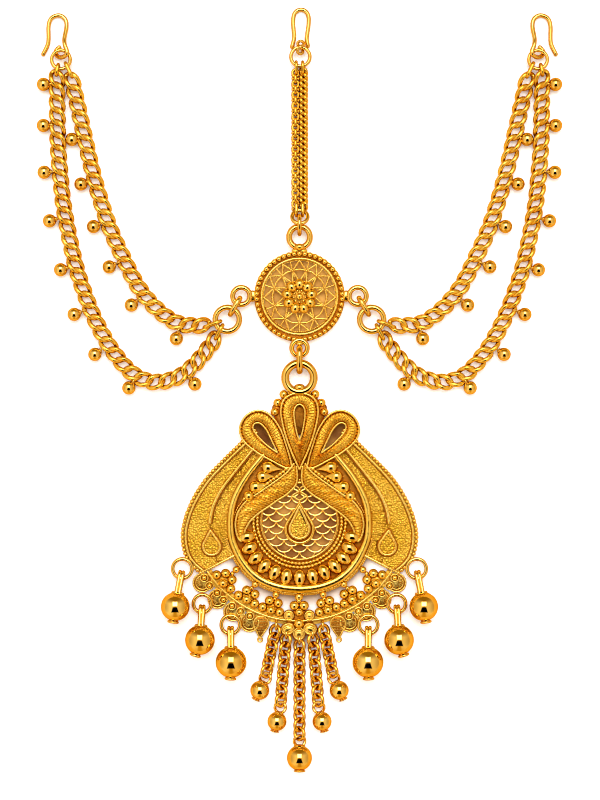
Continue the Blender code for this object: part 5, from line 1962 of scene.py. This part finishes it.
@dataclass
class Studio:
    """The pale table, the soft light and the camera; lengths in millimetres.

    A painted shadow is a dark brown round on the table under the openwork: its middle, its radius and how
    pale its brown is.
    A window in the room is where its light starts, is full, fades and ends.
    """

    table_size: float = 2400.0
    table_drop: float = 0.05
    table_tones: tuple[Triple, Triple] = ((0.93, 0.93, 0.93), (0.9, 0.9, 0.905))
    shades: tuple[tuple[float, float, float, float], ...] = (
        (0.0, 26.2, 10.6, 0.74), (0.0, -36.7, 11.4, 0.25), (0.0, -8.6, 4.6, 0.42),
        (-9.9, -12.8, 5.0, 0.14), (9.9, -12.8, 5.0, 0.14))
    shade_tones: tuple[Triple, Triple] = ((0.13, 0.038, 0.003), (0.68, 0.37, 0.08))
    shade_fade: float = 0.8
    # Soft painted shadows: wide brown rounds, middle and radius, fading at the edge, under the plaque and the
    # tassel.
    soft_shades: tuple[Triple, ...] = ((0.0, -38.0, 24.8), (0.0, -67.0, 7.5))
    soft_tone: Triple = (0.33, 0.22, 0.14)
    soft_fade: float = 5.0
    mirrored_table: Triple = (0.55, 0.35, 0.08)
    table_glow: float = 0.1
    table_light: float = 2.45
    light_angle: float = 70.0
    light_tilt: Pair = (-12.0, 4.0)
    fill: float = 0.41
    far_fill: float = 0.8
    low_fill: float = 0.25
    warmth: Triple = (1.0, 0.56, 0.05)
    backdrop: Triple = (0.9, 0.9, 0.9)
    left_lobe: float = 0.78
    left_window: Numbers = (-1.35, -0.5, -0.34, -0.1)
    right_lobe: float = 0.58
    right_window: Numbers = (0.1, 0.34, 0.5, 1.35)
    lobe_window: Numbers = (-1.3, -0.45, 0.35, 0.9)
    card: float = 5.5
    card_window: Numbers = (0.1, 0.2, 0.58, 0.74)
    gap_window: Numbers = (-0.72, -0.64, -0.08, 0.03)
    aim: Pair = (0.14, -2.8)
    focus_height: float = 2.0
    lens: float = 120.0
    sensor: float = 36.0
    view_height: float = 224.0
    farthest: float = 20.0

    def table_tone(self, nodes: Nodes) -> Socket:
        """Colour the table, with its painted shadows.

        Args:
            nodes: The table's nodes.

        Returns:
            The table's colour.
        """
        place = nodes.add("ShaderNodeTexCoord").outputs["Object"]
        first, second = self.table_tones
        tone = nodes.blend(nodes.noise(place, 40.0, 2.0), (*first, 1.0), (*second, 1.0))
        uneven = nodes.step(nodes.noise(place, 6.0, 1.0), 0.3, 0.7, -0.2, 0.2)
        # Painted shadows: soft brown rounds under the plaque's openings and the tassel.
        for x, y, radius in self.soft_shades:
            inside = nodes.step(nodes.distance(place, x, y), radius * MM, (radius - self.soft_fade) * MM)
            tone = nodes.blend(inside, tone, (*self.soft_tone, 1.0))
        dark, light = self.shade_tones
        # Painted shadows: brown rounds under the nets and windows, seen through the openwork.
        for x, y, radius, pale in self.shades:
            shadow_tone = nodes.blend(nodes.number("ADD", uneven, pale), (*dark, 1.0), (*light, 1.0))
            inside = nodes.step(nodes.distance(place, x, y), radius * MM, (radius - self.shade_fade) * MM)
            tone = nodes.blend(inside, tone, shadow_tone)
        return tone

    def table(self) -> None:
        """Lay the plain pale table, with painted shadows, a darker painted reflection tone and a faint
        painted glow.
        """
        half = self.table_size / 2 * MM
        mesh = bpy.data.meshes.new("table_top")
        mesh.from_pydata([(-half, -half, 0.0), (half, -half, 0.0), (half, half, 0.0), (-half, half, 0.0)],
                         [], [(0, 1, 2, 3)])
        table = bpy.data.objects.new("table_top", mesh)
        table.location.z = -self.table_drop * MM
        bpy.context.scene.collection.objects.link(table)
        material = bpy.data.materials.new("table_white")
        material.use_nodes = True
        nodes = Nodes(material.node_tree)
        tone = self.table_tone(nodes)
        # Painted reflection: in glossy rays the table shows a darker brown tone than it shows the camera.
        mirrored = nodes.add("ShaderNodeLightPath").outputs["Is Glossy Ray"]
        tone = nodes.blend(mirrored, tone, (*self.mirrored_table, 1.0))
        # Painted light: the table glows a little, outside reflections, to lift its shadows.
        glow = nodes.number("MULTIPLY", nodes.number("SUBTRACT", 1.0, mirrored), self.table_glow)
        shader = nodes.add("ShaderNodeBsdfPrincipled", {"Base Color": tone, "Roughness": 0.85,
                                                        "Emission Color": tone, "Emission Strength": glow})
        nodes.add("ShaderNodeOutputMaterial", {"Surface": shader.outputs[0]})
        mesh.materials.append(material)

    def surroundings(self) -> None:
        """Set the room round the table: soft side lights, a bright card and dark gaps."""
        world = bpy.data.worlds.new("studio")
        bpy.context.scene.world = world
        world.use_nodes = True
        nodes = Nodes(world.node_tree)
        way = nodes.add("ShaderNodeSeparateXYZ",
                        {0: nodes.add("ShaderNodeTexCoord").outputs["Generated"]})
        x, y = way.outputs[0], way.outputs[1]
        wide = nodes.number("ABSOLUTE", x)
        left = nodes.number("MULTIPLY", nodes.window(x, *self.left_window), self.left_lobe)
        right = nodes.number("MULTIPLY", nodes.window(x, *self.right_window), self.right_lobe)
        lobes = nodes.number("MULTIPLY", nodes.number("ADD", left, right),
                             nodes.window(y, *self.lobe_window))
        card = nodes.number("MULTIPLY", nodes.window(y, *self.card_window), nodes.step(wide, 0.36, 0.22))
        slant = nodes.number("MULTIPLY_ADD", y, -0.25, 0.3)
        gap = nodes.number("MULTIPLY", nodes.window(y, *self.gap_window),
                           nodes.step(nodes.number("SUBTRACT", wide, slant), 0.04, -0.03))
        open_part = nodes.number("SUBTRACT", 1.0, gap)
        light = nodes.number("MULTIPLY_ADD", card, self.card, lobes)
        low = nodes.step(y, -0.45, -0.8, 0.0, self.low_fill)
        fill = nodes.number("ADD", nodes.step(y, 0.35, 0.65, self.fill, self.fill * self.far_fill), low)
        warm, white = (nodes.add("ShaderNodeBackground", {
            "Strength": nodes.number("MULTIPLY", strength, open_part), "Color": (*colour, 1.0)})
            for strength, colour in ((fill, self.warmth), (light, (1.0, 1.0, 1.0))))
        both = nodes.add("ShaderNodeAddShader", {0: warm.outputs[0], 1: white.outputs[0]})
        plain = nodes.add("ShaderNodeBackground", {"Strength": 1.0, "Color": (*self.backdrop, 1.0)})
        seen = nodes.add("ShaderNodeMixShader", {0: nodes.add("ShaderNodeLightPath").outputs["Is Camera Ray"],
                                                 1: both.outputs[0], 2: plain.outputs[0]})
        nodes.add("ShaderNodeOutputWorld", {"Surface": seen.outputs[0]})

    def table_lamp(self) -> None:
        """Hang a broad soft light for the table alone, so the gold shows only the room."""
        light = bpy.data.lights.new("soft_light", "SUN")
        light.energy = self.table_light
        light.angle = math.radians(self.light_angle)
        lamp = bpy.data.objects.new("soft_light", light)
        lamp.rotation_euler = (*(math.radians(tilt) for tilt in self.light_tilt), 0.0)
        lamp.visible_glossy = False
        bpy.context.scene.collection.objects.link(lamp)

    def camera(self) -> None:
        """Set the camera straight above the jewel."""
        scene = bpy.context.scene
        data = bpy.data.cameras.new("camera")
        data.sensor_fit = "VERTICAL"
        data.sensor_height = self.sensor
        data.lens = self.lens
        data.clip_end = self.farthest
        camera = bpy.data.objects.new("camera", data)
        distance = self.view_height * self.lens / self.sensor
        camera.location = (self.aim[0] * MM, self.aim[1] * MM, (self.focus_height + distance) * MM)
        scene.collection.objects.link(camera)
        scene.camera = camera
        scene.view_settings.view_transform = "Standard"
        scene.cycles.filter_width = 1.0

    def build(self) -> None:
        """Set the table, the lights and the camera."""
        for stage in (self.table, self.surroundings, self.table_lamp, self.camera):
            stage()


def corners(box: Sequence[Numbers]) -> list[list[float]]:
    """A box's two corners as plain lists."""
    return [[float(value) for value in corner] for corner in box]


def main() -> None:
    """Build the jewel, the table and the camera."""
    logging.basicConfig(level=logging.INFO, format="%(message)s")
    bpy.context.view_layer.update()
    Studio().build()
    for side in Side:
        Hook("side_hook_" + side.word, SIDE_HOOK_ROUTE).build(side)
        RoundRing("side_top_ring_" + side.word, (-66.8, 92.5, 2.1), 2.6, 1.0).build(side)
        Connector().build(side)
        for piece in (OUTER_CHAIN, INNER_CHAIN, *DROPS):
            piece.build(side)
    for piece in MIDDLE_LINE:
        piece.build()
    for number, (sizes, side) in enumerate(TASSELS, start=1):
        Tassel(number, *sizes).build(side)


if __name__ == "__main__":
    main()
